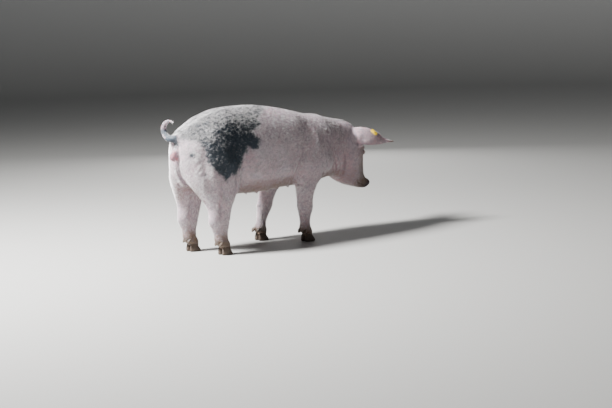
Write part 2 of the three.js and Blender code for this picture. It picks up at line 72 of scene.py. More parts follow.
soup = bmesh.new()
for name, solid in solids.items():
    others = [tree for other, tree in trees.items() if other != name]

    def touches_another(point):
        return any(tree.find_nearest(point, CUT_WIDTH)[0] is not None for tree in others)

    touching = {v: touches_another(v.co) for v in solid.verts}
    walls = [
        f for f in solid.faces
        if all(touching[v] for v in f.verts) and touches_another(f.calc_center_median())
    ]
    if name.startswith("ear"):
        for v in solid.verts:
            v.co += EAR_RIM * v.normal
    bmesh.ops.delete(solid, geom=walls, context="FACES")
    piece = bpy.data.meshes.new(name + "_copy")
    solid.to_mesh(piece)
    soup.from_mesh(piece)
    bpy.data.meshes.remove(piece)
    solid.free()


def new_piece(name, mesh):
    """A new object at the origin for a mesh or a bmesh, riding on the one body."""
    if isinstance(mesh, bmesh.types.BMesh):
        shape, mesh = mesh, bpy.data.meshes.new(name)
        shape.to_mesh(mesh)
        shape.free()
    piece = bpy.data.objects.new(name, mesh)
    scene.collection.objects.link(piece)
    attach(piece, "root")
    return piece


def apply_modifiers(piece):
    """Leaves the piece a plain mesh in the shape that its modifiers give."""
    graph = bpy.context.evaluated_depsgraph_get()
    shaped = bpy.data.meshes.new_from_object(piece.evaluated_get(graph))
    piece.modifiers.clear()
    rough, piece.data = piece.data, shaped
    bpy.data.meshes.remove(rough)


def weld(piece, voxel):
    """Turns the piece into one closed skin, and drops any crumb that the voxels leave."""
    closed = piece.modifiers.new("weld", "REMESH")
    closed.mode = "VOXEL"
    closed.voxel_size = voxel
    apply_modifiers(piece)
    shape = bmesh.new()
    shape.from_mesh(piece.data)
    todo = set(shape.verts)
    while todo:
        island, edge_of = set(), [next(iter(todo))]
        while edge_of:
            v = edge_of.pop()
            if v not in island:
                island.add(v)
                edge_of += [e.other_vert(v) for e in v.link_edges]
        todo -= island
        if len(island) < CRUMB:
            bmesh.ops.delete(shape, geom=list(island), context="VERTS")
    shape.to_mesh(piece.data)
    shape.free()


hide = new_piece("hide", soup)
weld(hide, GRAIN)


def points_of(mesh):
    values = np.empty(len(mesh.vertices) * 3, np.float32)
    mesh.vertices.foreach_get("co", values)
    return values.reshape(-1, 3).astype(np.float64)


def normals_of(mesh):
    values = np.empty(len(mesh.vertices) * 3, np.float32)
    mesh.vertex_normals.foreach_get("vector", values)
    return values.reshape(-1, 3).astype(np.float64)


def move_to(mesh, places):
    mesh.vertices.foreach_set("co", places.astype(np.float32).ravel())
    mesh.update()


def ramp(value, low, high):
    """0 at low, 1 at high, and smooth between."""
    t = np.clip((value - low) / (high - low), 0, 1)
    return t * t * (3 - 2 * t)


def within(places, node, soft):
    """1 inside a solid's box, falling to 0 over a soft margin outside it."""
    low, high = (np.array(corner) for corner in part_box(node))
    return (ramp(places, low - soft, low) * ramp(-places, -high - soft, -high)).prod(axis=1)


def wear_down(mesh, radius):
    """Blurs the shape by a radius given for each point."""
    places = points_of(mesh)
    ends = np.empty(len(mesh.edges) * 2, np.int32)
    mesh.edges.foreach_get("vertices", ends)
    ends = ends.reshape(-1, 2)
    length = np.linalg.norm(places[ends[:, 0]] - places[ends[:, 1]], axis=1).mean()
    here = np.concatenate([ends[:, 0], ends[:, 1]])
    there = np.concatenate([ends[:, 1], ends[:, 0]])
    neighbours = np.bincount(here, minlength=len(places))
    steps = int(np.ceil(2.3 * (radius.max() / length) ** 2))
    share = 0.9 * (radius / radius.max()) ** 2
    for _ in range(steps):
        for axis in range(3):
            total = np.bincount(here, weights=places[there, axis], minlength=len(places))
            places[:, axis] += share * (total / neighbours - places[:, axis])
    move_to(mesh, places)


unworn = points_of(hide.data)
leg_top = 0.30
radius = WORN["trunk"] + (WORN["legs"] - WORN["trunk"]) * ramp(-unworn[:, 2], -leg_top - 0.1, -leg_top)
head_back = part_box("head")[0].x
radius += (WORN["head"] - radius) * ramp(unworn[:, 0], head_back, head_back + 0.12)
radius += (WORN["feet"] - radius) * ramp(-unworn[:, 2], -0.12, -0.08)
for node, size in {"tail": "thin", "snout_disc": "thin", "ear_right": "ears", "ear_left": "ears"}.items():
    radius += (WORN[size] - radius) * within(unworn, node, 0.02)
under_tail = ramp(-unworn[:, 0], 0.68, 0.71) * ramp(-np.abs(unworn[:, 1]), -0.06, -0.03)
under_tail *= ramp(unworn[:, 2], 0.50, 0.54)
radius += (WORN["legs"] - radius) * under_tail
wear_down(hide.data, radius)

# ---------------------------------------------------------------- the hide: muscle, folds and joints
# What lies under the hide shows through it: shoulder blade, ham, hocks and knees. Where limbs and
# neck bend, it creases. Each form is a swelling or a groove, laid on the hide and pushed along its
# normals.

VIEWS = {  # the way each view looks, and the two axes its spots are given in
    "side": (Vector((0, 1, 0)), (0, 2)),
    "behind": (Vector((1, 0, 0)), (1, 2)),
    "front": (Vector((-1, 0, 0)), (1, 2)),
    "below": (Vector((0, 0, 1)), (0, 1)),
    "above": (Vector((0, 0, -1)), (0, 1)),
}


def on_hide(view, spot, side=-1):
    """The point of the hide that a view sees at a spot. A side view from the left has side 1."""
    way, axes = VIEWS[view]
    way = way * (-side if view == "side" else 1)
    start = -2 * way
    start[axes[0]] = spot[0]
    start[axes[1]] = spot[1] * (side if view in ("below", "above") else 1)
    if view in ("behind", "front"):
        start[axes[0]] = spot[0] * -side
    found, place, _, _ = hide.ray_cast(start, way)
    return np.array(place) if found else None


def smooth_line(places, step=0.004):
    """Places every few millimetres along a smooth line through the given ones."""
    ends = [2 * places[0] - places[1], *places, 2 * places[-1] - places[-2]]
    line = []
    for a, b, c, d in zip(ends, ends[1:], ends[2:], ends[3:]):
        for t in np.linspace(0, 1, max(2, int(np.linalg.norm(c - b) / step)), endpoint=False):
            line.append(
                b + 0.5 * t * (c - a + t * (2 * a - 5 * b + 4 * c - d + t * (3 * (b - c) + d - a)))
            )
    return np.array([*line, places[-1]])


# Creases listed here are darkened in skin and coat colour as painted shade.
FOLDS = []  # the creases cut so far, which the colours of skin and coat darken


class Relief:
    """A depth map over the hide's points, in metres outwards, built up form by form."""

    def __init__(self, piece):
        self.mesh = piece.data
        self.places = points_of(self.mesh)
        self.normals = normals_of(self.mesh)
        self.height = np.zeros(len(self.places))

    def swell(self, centre, radius, height):
        """A soft mound, or a hollow if height is negative."""
        if centre is None:
            return
        radii = np.broadcast_to(np.asarray(radius, float), 3)
        some = np.flatnonzero((np.abs(self.places - centre) < 2.6 * radii).all(axis=1))
        squares = (((self.places[some] - centre) / radii) ** 2).sum(axis=1)
        self.height[some] += height * np.exp(-squares)

    def groove(self, places, width, depth, lip=0.0, fade=0.5):
        """A crease along a line, with lips pushed up on both sides, fading out at its ends."""
        line = smooth_line([p for p in places if p is not None])
        reach = 3.2 * width
        low, high = line.min(axis=0) - reach, line.max(axis=0) + reach
        some = np.flatnonzero(((self.places > low) & (self.places < high)).all(axis=1))
        away = np.full(len(some), np.inf)
        along = np.zeros(len(some))
        for i, p in enumerate(line):
            distance = np.linalg.norm(self.places[some] - p, axis=1)
            closer = distance < away
            away[closer] = distance[closer]
            along[closer] = i / (len(line) - 1)
        strength = np.sin(np.pi * (0.04 + 0.92 * along)) ** fade
        if depth > 0 and width < 0.018:
            FOLDS.append((line, 0.8 * width, min(depth / 0.010, 1.0)))
        profile = lip * np.exp(-(((away - 1.9 * width) / (0.9 * width)) ** 2))
        profile -= depth * np.exp(-((away / width) ** 2))
        self.height[some] += strength * profile

    def press(self):
        """Moves the points out or in by the heights gathered so far."""
        self.places += self.normals * self.height[:, None]
        move_to(self.mesh, self.places)


def unit(vector):
    return vector / np.linalg.norm(vector)


relief = Relief(hide)


def side_line(spots, side):
    return [on_hide("side", spot, side) for spot in spots]


for side in (-1, 1):
    # Shoulder: the blade and its spine, the triceps, and the crease behind it down to the elbow.
    relief.groove(
        side_line([(0.135, 0.70), (0.155, 0.64), (0.160, 0.58), (0.150, 0.52)], side), 0.028, -0.005
    )
    relief.swell(on_hide("side", (0.215, 0.59), side), (0.05, 0.05, 0.07), -0.004)
    relief.swell(on_hide("side", (0.075, 0.475), side), (0.05, 0.06, 0.07), 0.008)
    relief.swell(on_hide("side", (0.25, 0.46), side), (0.06, 0.06, 0.07), 0.007)
    relief.groove(
        side_line(
            [(0.078, 0.641), (0.060, 0.596), (0.047, 0.551), (0.028, 0.505), (0.008, 0.46)]
            + [(-0.006, 0.412), (-0.008, 0.37)],
            side,
        ),
        0.014, 0.016, 0.003, fade=0.8,
    )
    relief.groove(side_line([(-0.02, 0.375), (0.01, 0.35), (0.04, 0.345)], side), 0.009, 0.006, 0.001)
    relief.groove(side_line([(0.19, 0.41), (0.20, 0.37), (0.185, 0.33)], side), 0.014, 0.005, 0.001)
    relief.groove(side_line([(-0.06, 0.64), (-0.07, 0.54), (-0.08, 0.46)], side), 0.06, 0.004)
    # Neck: the deep crease in front of the shoulder, a lesser one, and the one behind the jowl.
    relief.groove(
        side_line(
            [(0.345, 0.60), (0.325, 0.55), (0.308, 0.50), (0.328, 0.45), (0.355, 0.405), (0.37, 0.37)], side
        ),
        0.0085, 0.011, 0.002, fade=0.8,
    )
    relief.groove(side_line([(0.275, 0.49), (0.298, 0.44), (0.32, 0.405)], side), 0.016, 0.004, 0.0, fade=1.0)
    relief.groove(
        side_line([(0.405, 0.515), (0.415, 0.455), (0.425, 0.39), (0.437, 0.34)], side),
        0.013, 0.006, 0.001, fade=0.9,
    )
    relief.swell(on_hide("side", (0.475, 0.41), side), (0.045, 0.04, 0.055), 0.009)
    # Flank: the fold of skin from stifle to belly, and the hollow before the ham.
    relief.groove(
        side_line([(-0.44, 0.56), (-0.452, 0.50), (-0.456, 0.45), (-0.455, 0.40), (-0.462, 0.35)], side),
        0.014, 0.012, 0.002,
    )
    relief.swell(on_hide("side", (-0.40, 0.43), side), (0.05, 0.05, 0.06), -0.007)
    relief.groove(side_line([(-0.415, 0.40), (-0.435, 0.365), (-0.47, 0.335)], side), 0.010, -0.006)
    # Ham: the rounded thigh, the groove between its muscles, and the soft dimples low down.
    relief.swell(on_hide("side", (-0.57, 0.55), side), (0.08, 0.06, 0.10), 0.006)
    relief.groove(
        side_line([(-0.640, 0.66), (-0.655, 0.57), (-0.652, 0.49), (-0.635, 0.42), (-0.61, 0.37)], side),
        0.026, 0.004,
    )
    relief.groove(side_line([(-0.545, 0.42), (-0.548, 0.38), (-0.55, 0.34)], side), 0.018, 0.004)
    relief.groove(
        side_line([(-0.620, 0.318), (-0.600, 0.309), (-0.575, 0.307), (-0.555, 0.314)], side), 0.013, 0.003
    )
    relief.swell(on_hide("side", (-0.43, 0.765), side), (0.05, 0.05, 0.03), 0.004)
    # The ear's wall is thickest where its base folds.
    relief.swell((0.547, 0.119 * side, 0.571), 0.020, 0.0026)

# Back: a shallow valley along the loin and croup, and the dip before the withers.
relief.groove([on_hide("above", (x, 0)) for x in (-0.69, -0.6, -0.5, -0.4, -0.28)], 0.020, 0.005, 0.0015)
relief.swell(on_hide("above", (0.185, 0.0)), (0.06, 0.08, 0.06), -0.003)

# Under the tail: the hams part in a cleft, the anus is puckered, and the vulva hangs as a soft cone.
relief.groove(
    [on_hide("behind", (0.0, z)) for z in (0.535, 0.50, 0.45, 0.41, 0.38)], 0.011, 0.015, 0.003
)
for turn in (-1, 1):
    relief.groove([on_hide("behind", (0.026 * turn, z)) for z in (0.655, 0.61, 0.565, 0.54)], 0.008, 0.005)
anus = on_hide("behind", (0.0, 0.645))
relief.swell(anus, 0.014, 0.006)
relief.swell(on_hide("behind", (0.0, 0.590)), (0.03, 0.021, 0.028), 0.015)
relief.swell(on_hide("behind", (0.0, 0.565)), (0.03, 0.013, 0.015), 0.017)
relief.press()
relief = Relief(hide)
around = relief.places - on_hide("behind", (0.0, 0.645))
reach = np.linalg.norm(around, axis=1)
pucker = np.cos(9 * np.arctan2(around[:, 2], around[:, 1]))
relief.height -= (0.006 + 0.0012 * pucker * (reach > 0.003)) * np.exp(-((reach / 0.0065) ** 2))
relief.groove(
    [on_hide("behind", (0.0, z)) for z in (0.607, 0.595, 0.58, 0.568)], 0.0028, 0.006, 0.0015, fade=0.3
)

# Belly: two rows of teats.
TEATS = 7
for side in (-1, 1):
    for i in range(TEATS):
        x = -0.385 + 0.078 * i
        teat = on_hide("below", (x, 0.062), side)
        relief.swell(teat, 0.016, 0.002)
        relief.swell(teat, (0.0065, 0.0065, 0.02), 0.010)


def leg_middle(leg, height):
    """The middle of a leg's level section, and the way out from the body."""
    low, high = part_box(leg)
    side = 1 if leg.endswith("left") else -1
    at = relief.places
    some = (np.abs(at[:, 2] - height) < 0.006) & (at[:, 1] * side > 0.01)
    some &= (at[:, 0] > low.x - 0.01) & (at[:, 0] < high.x + 0.01)
    ends = at[some]
    return (ends.min(axis=0) + ends.max(axis=0)) / 2, side


def on_leg(leg, height, turn):
    """The point of a leg at a height, turned so many degrees from the front by way of the outside."""
    middle, side = leg_middle(leg, height)
    angle = math.radians(turn)
    way = Vector((math.cos(angle), side * math.sin(angle), 0))
    start = Vector((middle[0], middle[1], height)) + 0.14 * way
    found, place, _, _ = hide.ray_cast(start, -way)
    return np.array(place) if found else None


for leg in LEGS:
    lean = 9 if leg.endswith("left") else -7  # no two legs fold quite alike
    if leg.startswith("fore"):
        # The knee in front, the pisiform bone behind it, tendons, and the creases of the bend.
        relief.swell(on_leg(leg, 0.200, 0), (0.03, 0.028, 0.03), 0.006)
        relief.swell(on_leg(leg, 0.212, 175), (0.02, 0.02, 0.018), 0.006)
        relief.swell(on_leg(leg, 0.150, 180), (0.03, 0.02, 0.03), -0.003)
        for turn in (120, -120):
            relief.groove([on_leg(leg, z, turn) for z in (0.18, 0.15, 0.12)], 0.008, 0.004)
        relief.groove(
            [on_leg(leg, 0.184 + 0.0001 * t, t) for t in (115, 150, 185, 215)], 0.005, 0.0025, 0.001, 1.0
        )
        relief.groove(
            [on_leg(leg, 0.170 - 0.0001 * t, t + lean) for t in (140, 175, 210)], 0.004, 0.002, 0.001, 1.0
        )
        relief.swell(on_leg(leg, 0.30, 90), (0.03, 0.03, 0.05), 0.003)
    else:
        # The point of the hock, the tendon that stands clear above it, and creases in its bend.
        relief.swell(on_leg(leg, 0.190, 180), (0.022, 0.022, 0.024), 0.007)
        for turn in (118, -118):
            relief.groove([on_leg(leg, z, turn) for z in (0.31, 0.275, 0.24, 0.205)], 0.011, 0.007, 0.001)
        relief.groove(
            [on_leg(leg, 0.187 + 0.0001 * t, t) for t in (-60, -30, 0, 30, 60)], 0.006, 0.003, 0.001, 1.0
        )
        relief.groove(
            [on_leg(leg, 0.167 - 0.0001 * t, t + lean) for t in (-45, -15, 15, 40)], 0.005, 0.0025, 0.001, 1.0
        )
        relief.swell(on_leg(leg, 0.150, 90), (0.02, 0.02, 0.03), 0.003)
        for turn in (85, -85):
            relief.groove([on_leg(leg, z, turn) for z in (0.15, 0.125, 0.10)], 0.008, 0.003)
    # The fetlock, and broken folds of skin over the pastern, deepest in front and behind.
    for height, depth, first, last in (
        (0.112, 0.0012, -75, 60), (0.101, 0.0020, -95, 80), (0.090, 0.0022, -70, 100),
        (0.079, 0.0016, -50, 55), (0.105, 0.0016, 130, 235), (0.068, 0.0016, 60, 130),
    ):
        turns = np.linspace(first, last, 6) + lean
        relief.groove(
            [on_leg(leg, height + 0.0015 * math.sin(t / 14), t) for t in turns], 0.0035, depth, 0.0006, 1.0
        )

    # A boss of skin carries each dewclaw.
    for place in ("inner", "outer"):
        low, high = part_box(f"{leg}_dewclaw_{place}")
        boss = np.array([high.x, (low.y + high.y) / 2, high.z - 0.008])
        relief.swell(boss, (0.016, 0.011, 0.014), 0.010)

# Nothing alive is quite even: the whole hide swells and sinks a little.
chance = np.random.default_rng(7)


def waves(places, size, strength, count=14):
    """Soft lumps of about a size, from plane waves in chance directions."""
    total = np.zeros(len(places))
    for _ in range(count):
        way = unit(chance.normal(size=3)) * 2 * np.pi / (size * chance.uniform(0.7, 1.4))
        total += np.sin(places @ way + chance.uniform(0, 2 * np.pi))
    return strength * total / np.sqrt(count / 2)


trunk_part = ramp(relief.places[:, 2], 0.28, 0.36)
relief.height += waves(relief.places, 0.16, 0.0011) * (0.4 + 0.6 * trunk_part)
relief.height += waves(relief.places, 0.045, 0.00018)

# The tail is thin, and wearing it down has thinned it further, so it is pushed out again.
TAIL_OUT = 0.0042
relief.height += (
    TAIL_OUT * within(relief.places, "tail", 0.006) * ramp(-relief.places[:, 0], 0.738, 0.746)
)

# The bristles stand between the hide and the true outline, so it sinks by their depth.
COAT_DEPTH = {"trunk": 0.0040, "legs": 0.0025, "head": 0.0020, "bare": 0.0006}
sunk = COAT_DEPTH["legs"] + (COAT_DEPTH["trunk"] - COAT_DEPTH["legs"]) * trunk_part
sunk += (COAT_DEPTH["head"] - sunk) * ramp(relief.places[:, 0], 0.38, 0.48)
for node, soft in {
    "ear_right": 0.005, "ear_left": 0.005, "tail": 0.01,
    "snout_disc": 0.02, "eye_right": 0.03, "eye_left": 0.03,
}.items():
    sunk += (COAT_DEPTH["bare"] - sunk) * within(relief.places, node, soft)
relief.height -= sunk
relief.press()

# ---------------------------------------------------------------- the hide: thinned, and the face refined
# The broad smooth flanks need few points, and the folds, rims and face need many. The collapse keeps
# most points where the skin bends most, and the skin round eyes, snout and mouth is divided finer.

TRIANGLES = 130_000  # left by the collapse, before the face is divided


def centre_of(node):
    low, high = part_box(node)
    return np.array((low + high) / 2)


# The snout disc's own axes: straight out of its face, and up along it.
DISC_TILT = math.radians(50)
disc_middle = centre_of("snout_disc")
disc_out = np.array([math.cos(DISC_TILT), 0, -math.sin(DISC_TILT)])
disc_up = np.array([math.sin(DISC_TILT), 0, math.cos(DISC_TILT)])

# The mouth: the jaw is cut from the head along this plane, up to the corner of the lips.
jaw_low, jaw_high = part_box("jaw")
corner = np.array([jaw_low.x + 0.022, 0, jaw_high.z - 0.001])
lip_way = unit(np.array([0.844, 0, -0.536]))
lip_down = np.array([-0.536, 0, -0.844])


def fine_places(places, muzzle, lips, lids):
    """The points within given distances of the disc, the line of the lips and the eyes."""
    near = np.linalg.norm(places - disc_middle, axis=1) < muzzle
    at = places - corner
    near |= (np.abs(at @ lip_down) < lips) & (at @ lip_way > -0.025) & (at[:, 2] < 0.02)
    for node in EYES:
        near |= np.linalg.norm(places - centre_of(node), axis=1) < lids
    return near


spared = fine_places(points_of(hide.data), 0.09, 0.02, 0.04)
broad = hide.vertex_groups.new(name="broad")
broad.add(np.flatnonzero(~spared).tolist(), 1.0, "REPLACE")
collapse = hide.modifiers.new("collapse", "DECIMATE")
collapse.ratio = TRIANGLES / (2 * len(hide.data.polygons))
collapse.vertex_group = "broad"
apply_modifiers(hide)
hide.vertex_groups.clear()


def divide(piece, chosen):
    """Halves the edges that have both ends among the chosen points."""
    fine = bmesh.new()
    fine.from_mesh(piece.data)
    picked = set(np.flatnonzero(chosen).tolist())
    edges = [e for e in fine.edges if e.verts[0].index in picked and e.verts[1].index in picked]
    bmesh.ops.subdivide_edges(fine, edges=edges, cuts=1, use_grid_fill=True)
    fine.to_mesh(piece.data)
    fine.free()


for reach in ((0.078, 0.011, 0.030), (0, 0, 0.021)):
    divide(hide, fine_places(points_of(hide.data), *reach))

# ---------------------------------------------------------------- the hide: cheeks, snout, mouth and lids
# The disc is a hard bare rim round a flat face with two nostrils. The skin wrinkles behind it. The lips
# meet in a long line that turns up at its corner. Thick lids close over most of each eyeball.

relief = Relief(hide)
for side in (-1, 1):
    # Cheek, the hollow before it, the arch from eye to ear, the brow, and the planes of the nose.
    relief.swell(on_hide("side", (0.505, 0.455), side), (0.045, 0.05, 0.06), 0.009)
    relief.swell(on_hide("side", (0.580, 0.405), side), (0.028, 0.03, 0.045), -0.007)
    relief.groove(side_line([(0.585, 0.520), (0.555, 0.532), (0.520, 0.530)], side), 0.014, -0.007)
    relief.swell(on_hide("side", (0.545, 0.570), side), (0.022, 0.03, 0.022), -0.006)
    for spots, *form in (
        (((0.048, 0.535), (0.058, 0.518), (0.066, 0.500)), 0.011, -0.005),
        (((0.047, 0.455), (0.041, 0.41), (0.037, 0.37), (0.036, 0.345)), 0.013, 0.006),
        (((0.026, 0.47), (0.026, 0.42), (0.026, 0.38), (0.026, 0.35)), 0.012, -0.0025),
        (((0.022, 0.57), (0.030, 0.54), (0.034, 0.51)), 0.009, 0.002, 0.001),
    ):
        relief.groove([on_hide("front", spot, side) for spot in spots], *form)
    relief.groove(side_line([(0.532, 0.43), (0.547, 0.40), (0.552, 0.365)], side), 0.012, 0.004, 0.001)
    relief.swell(on_hide("side", (0.555, 0.335), side), (0.018, 0.02, 0.018), 0.003)
relief.groove([on_hide("front", (0.0, z)) for z in (0.60, 0.56, 0.52, 0.49)], 0.012, 0.003, 0.001)
for z in (0.555, 0.538, 0.522):
    relief.groove(
        [on_hide("front", (y, z + 0.006 * math.cos(60 * y))) for y in (-0.03, -0.01, 0.012, 0.028)],
        0.0045, 0.0014, 0.0004, 1.0,
    )

at = relief.places - disc_middle
ahead = at @ disc_out
across = at[:, 1]
up = at @ disc_up
rim = np.hypot(across / 0.047, up / 0.034)
on_face = ramp(ahead, -0.006, 0.004)
relief.height += on_face * 0.0022 * np.exp(-(((rim - 0.90) / 0.12) ** 2))
relief.height -= on_face * 0.0015 * np.exp(-((rim / 0.6) ** 2))
relief.height -= on_face * 0.0018 * np.exp(-((across / 0.0022) ** 2)) * ramp(-up, -0.004, 0.006)
behind_disc = ramp(-np.linalg.norm(at, axis=1), -0.10, -0.075) * ramp(up, -0.02, 0.004)
for back, depth in ((0.022, 0.0035), (0.033, 0.0018), (0.043, 0.0018), (0.055, 0.0013)):
    wave = back + 0.0015 * np.sin(across * 160)
    relief.height -= behind_disc * depth * np.exp(-(((ahead + wave) / 0.0032) ** 2))
relief.press()

# The lips part along the plane that the jaw is cut by.
relief = Relief(hide)
at = relief.places - corner
along = at @ lip_way
below = at @ lip_down - 0.004 * np.sin(along * 55) + 0.006 * ramp(-along, -0.015, 0.01)
seen = ramp(along, -0.006, 0.006) * ramp(-ahead, -0.004, 0.006)
seen *= ramp(np.abs(relief.normals @ lip_down) * -1, -0.93, -0.80)
relief.height -= seen * 0.0050 * np.exp(-((below / 0.0020) ** 2))
relief.height += seen * 0.0016 * np.exp(-(((np.abs(below) - 0.0062) / 0.0035) ** 2))
relief.press()

# Nostrils: two oval holes that run back into the muzzle.
NOSTRIL = {"apart": 0.0175, "up": 0.003, "wide": 0.0068, "high": 0.0088, "deep": 0.014}
places = points_of(hide.data)
at = places - disc_middle
for side in (-1, 1):
    oval = np.hypot(
        (at[:, 1] - side * NOSTRIL["apart"]) / NOSTRIL["wide"],
        (at @ disc_up - NOSTRIL["up"]) / NOSTRIL["high"],
    )
    sink = (1 - ramp(oval, 0.62, 1.12)) * (at @ disc_out > -0.006)
    places -= (NOSTRIL["deep"] * sink)[:, None] * disc_out
move_to(hide.data, places)

# Lids: the skin near each eye is drawn over the ball as a thick lid, and sunk behind it in the opening.
LID = {"thick": 0.0022, "half": 0.0134, "upper": 0.0076, "lower": 0.0056}
LID_FOLDS = [  # how far out each fold runs, and its depth
    (0.0009, -0.0007), (0.0046, 0.0016), (0.0078, 0.0013),
    (0.0115, 0.0012), (0.0160, 0.0009), (0.0185, 0.0008),
]
eye_axes = {}
for node in EYES:
    side = 1 if node.endswith("left") else -1
    middle = centre_of(node)
    low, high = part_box(node)
    ball = (high.x - low.x) / 2
    places = points_of(hide.data)
    near = np.flatnonzero(np.linalg.norm(places - middle, axis=1) < 0.045)
    patch = near[np.linalg.norm(places[near] - middle, axis=1) < 0.022]
    out = unit(normals_of(hide.data)[patch].sum(axis=0))
    inner = disc_middle - middle
    inner = unit(inner - inner @ out * out)
    top = np.cross(inner, out) * side
    tip = math.radians(14)
    inner, top = math.cos(tip) * inner - math.sin(tip) * top, math.sin(tip) * inner + math.cos(tip) * top
    eye_axes[node] = (middle, ball, out, inner, top)
    u, v, w = ((places[near] - middle) @ axis for axis in (inner, top, out))
    away = np.hypot(u, v)
    lid = np.sqrt(np.clip((ball + LID["thick"]) ** 2 - away ** 2, 0, None))
    lid[away > ball + LID["thick"]] = -1
    soft = 0.004
    mix = np.clip(0.5 + 0.5 * (lid - w) / soft, 0, 1)
    drawn = w * (1 - mix) + lid * mix + soft * mix * (1 - mix)
    arch = np.clip(1 - (u / LID["half"]) ** 2, 0, 1)
    opening = np.minimum(LID["upper"] * arch - v, v + LID["lower"] * arch)
    opening[np.abs(u) > LID["half"]] = -0.01
    tall = np.where(v > 0, LID["upper"], LID["lower"])
    bearing = np.arctan2(v, u)
    for i, (crease, depth) in enumerate(LID_FOLDS):
        loop = crease * (1 + 0.14 * np.sin(3 * bearing + 300 * crease))
        ring = np.hypot(u / (LID["half"] + loop), v / (tall + loop)) - 1
        ring *= np.hypot(u, v)
        above = 0.5 + (0.5 if i % 2 else -0.5) * np.sin(bearing + 0.5 * i - 0.8)
        broken = above ** 1.5 * (0.8 + 0.2 * np.sin(5 * bearing + i)) if depth > 0 else 1.0
        drawn -= depth * broken * np.exp(-((ring / 0.0012) ** 2)) * ramp(-away, -0.034, -0.018)
    under_ball = np.sqrt(np.clip(ball ** 2 - away ** 2, 0, None)) - 0.0035
    opened = ramp(opening, -0.0002, 0.0007)
    drawn = drawn * (1 - opened) + under_ball * opened
    places[near] += (drawn - w)[:, None] * out
    move_to(hide.data, places)

# Above each claw the skin ends in a band that hugs the horn, with no step or gap.
horns = bmesh.new()
for leg in LEGS:
    for place in ("inner", "outer"):
        horns.from_mesh(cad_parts[f"{leg}_claw_{place}"].data)
bmesh.ops.remove_doubles(horns, verts=horns.verts, dist=1e-6)
bmesh.ops.recalc_face_normals(horns, faces=horns.faces)
horn_tree = BVHTree.FromBMesh(horns)
horns.free()
BAND_TOP, BAND_LOW, BAND = 0.070, 0.048, 0.0032
places = points_of(hide.data)
for i in np.flatnonzero(places[:, 2] < BAND_TOP):
    spot, facing, _, away = horn_tree.find_nearest(Vector(places[i]), 0.03)
    if spot is not None:
        pull = float(ramp(-places[i, 2], -BAND_TOP, -BAND_LOW))
        pull *= float(ramp(-away, -0.03, -0.012))
        target = np.array(spot + (0.0002 + BAND * float(ramp(places[i, 2], 0.044, 0.060))) * facing)
        target[2] = max(target[2], 0.030)
        places[i] += pull * (target - places[i])
move_to(hide.data, places)

# ---------------------------------------------------------------- the hide: markings and skin
# Pink skin with a slate patch over rump and loin that carries on down her right ham, dark freckles
# round it, a flush where the coat is thin, and dried mud on the feet. The same brown lies on belly and
# face, partly as mud and partly as painted shade, and creases are darkened as painted shade. The skin
# and the coat take their colours from the same masks, worked out here for any place on the hide.

# The patch, as the distance along the body and the degrees round it from the spine, right side first.
PATCH = [
    (-0.735, 20), (-0.700, 46), (-0.665, 62), (-0.645, 80), (-0.640, 98), (-0.605, 114), (-0.565, 121),
    (-0.530, 130), (-0.505, 121), (-0.455, 122), (-0.418, 106), (-0.398, 89), (-0.370, 92),
    (-0.362, 79), (-0.335, 86), (-0.288, 82), (-0.272, 70), (-0.300, 62), (-0.318, 54), (-0.280, 51),
    (-0.252, 44), (-0.262, 35), (-0.205, 26), (-0.130, 12),
    (-0.110, -8), (-0.150, -30), (-0.240, -42), (-0.330, -38), (-0.410, -54), (-0.500, -48),
    (-0.600, -52), (-0.660, -36), (-0.725, -18),
]
PATCH_AXIS, PATCH_ARM = 0.57, 0.20  # height of the line the degrees go round, and their radius
SPOTS = [  # lone dark spots: place and radius
    ((-0.742, 0.0, 0.648), 0.024), ((-0.740, 0.0, 0.622), 0.014), ((-0.710, -0.113, 0.585), 0.018),
    ((-0.700, -0.060, 0.520), 0.006), ((-0.655, -0.150, 0.470), 0.008),
    ((-0.700, 0.045, 0.405), 0.008), ((-0.690, 0.060, 0.360), 0.006), ((-0.705, 0.030, 0.375), 0.005),
    ((-0.695, 0.040, 0.345), 0.004), ((-0.430, -0.180, 0.520), 0.009), ((-0.350, 0.150, 0.640), 0.012),
    ((-0.300, 0.165, 0.590), 0.007), ((-0.520, 0.190, 0.560), 0.010), ((0.120, 0.150, 0.640), 0.008),
    ((0.180, -0.020, 0.740), 0.009), ((0.440, 0.110, 0.520), 0.008), ((0.520, 0.045, 0.600), 0.006),
]


def patch_depth(places):
    """How far inside the patch's outline each place lies, in metres along the hide."""
    turn = np.arctan2(-places[:, 1], places[:, 2] - PATCH_AXIS)
    flat = np.column_stack([places[:, 0], turn * PATCH_ARM])
    corners = np.array([(x, math.radians(degrees) * PATCH_ARM) for x, degrees in PATCH])
    inside = np.zeros(len(flat), bool)
    away = np.full(len(flat), np.inf)
    for a, b in zip(corners, np.roll(corners, -1, axis=0)):
        edge = b - a
        t = np.clip(((flat - a) @ edge) / (edge @ edge), 0, 1)
        away = np.minimum(away, np.linalg.norm(flat - a - t[:, None] * edge, axis=1))
        crosses = (a[1] > flat[:, 1]) != (b[1] > flat[:, 1])
        inside ^= crosses & (flat[:, 0] < a[0] + (flat[:, 1] - a[1]) / (edge[1] + 1e-12) * edge[0])
    return np.where(inside, away, -away)


def on_ears(places, soft):
    return np.clip(within(places, "ear_right", soft) + within(places, "ear_left", soft), 0, 1)


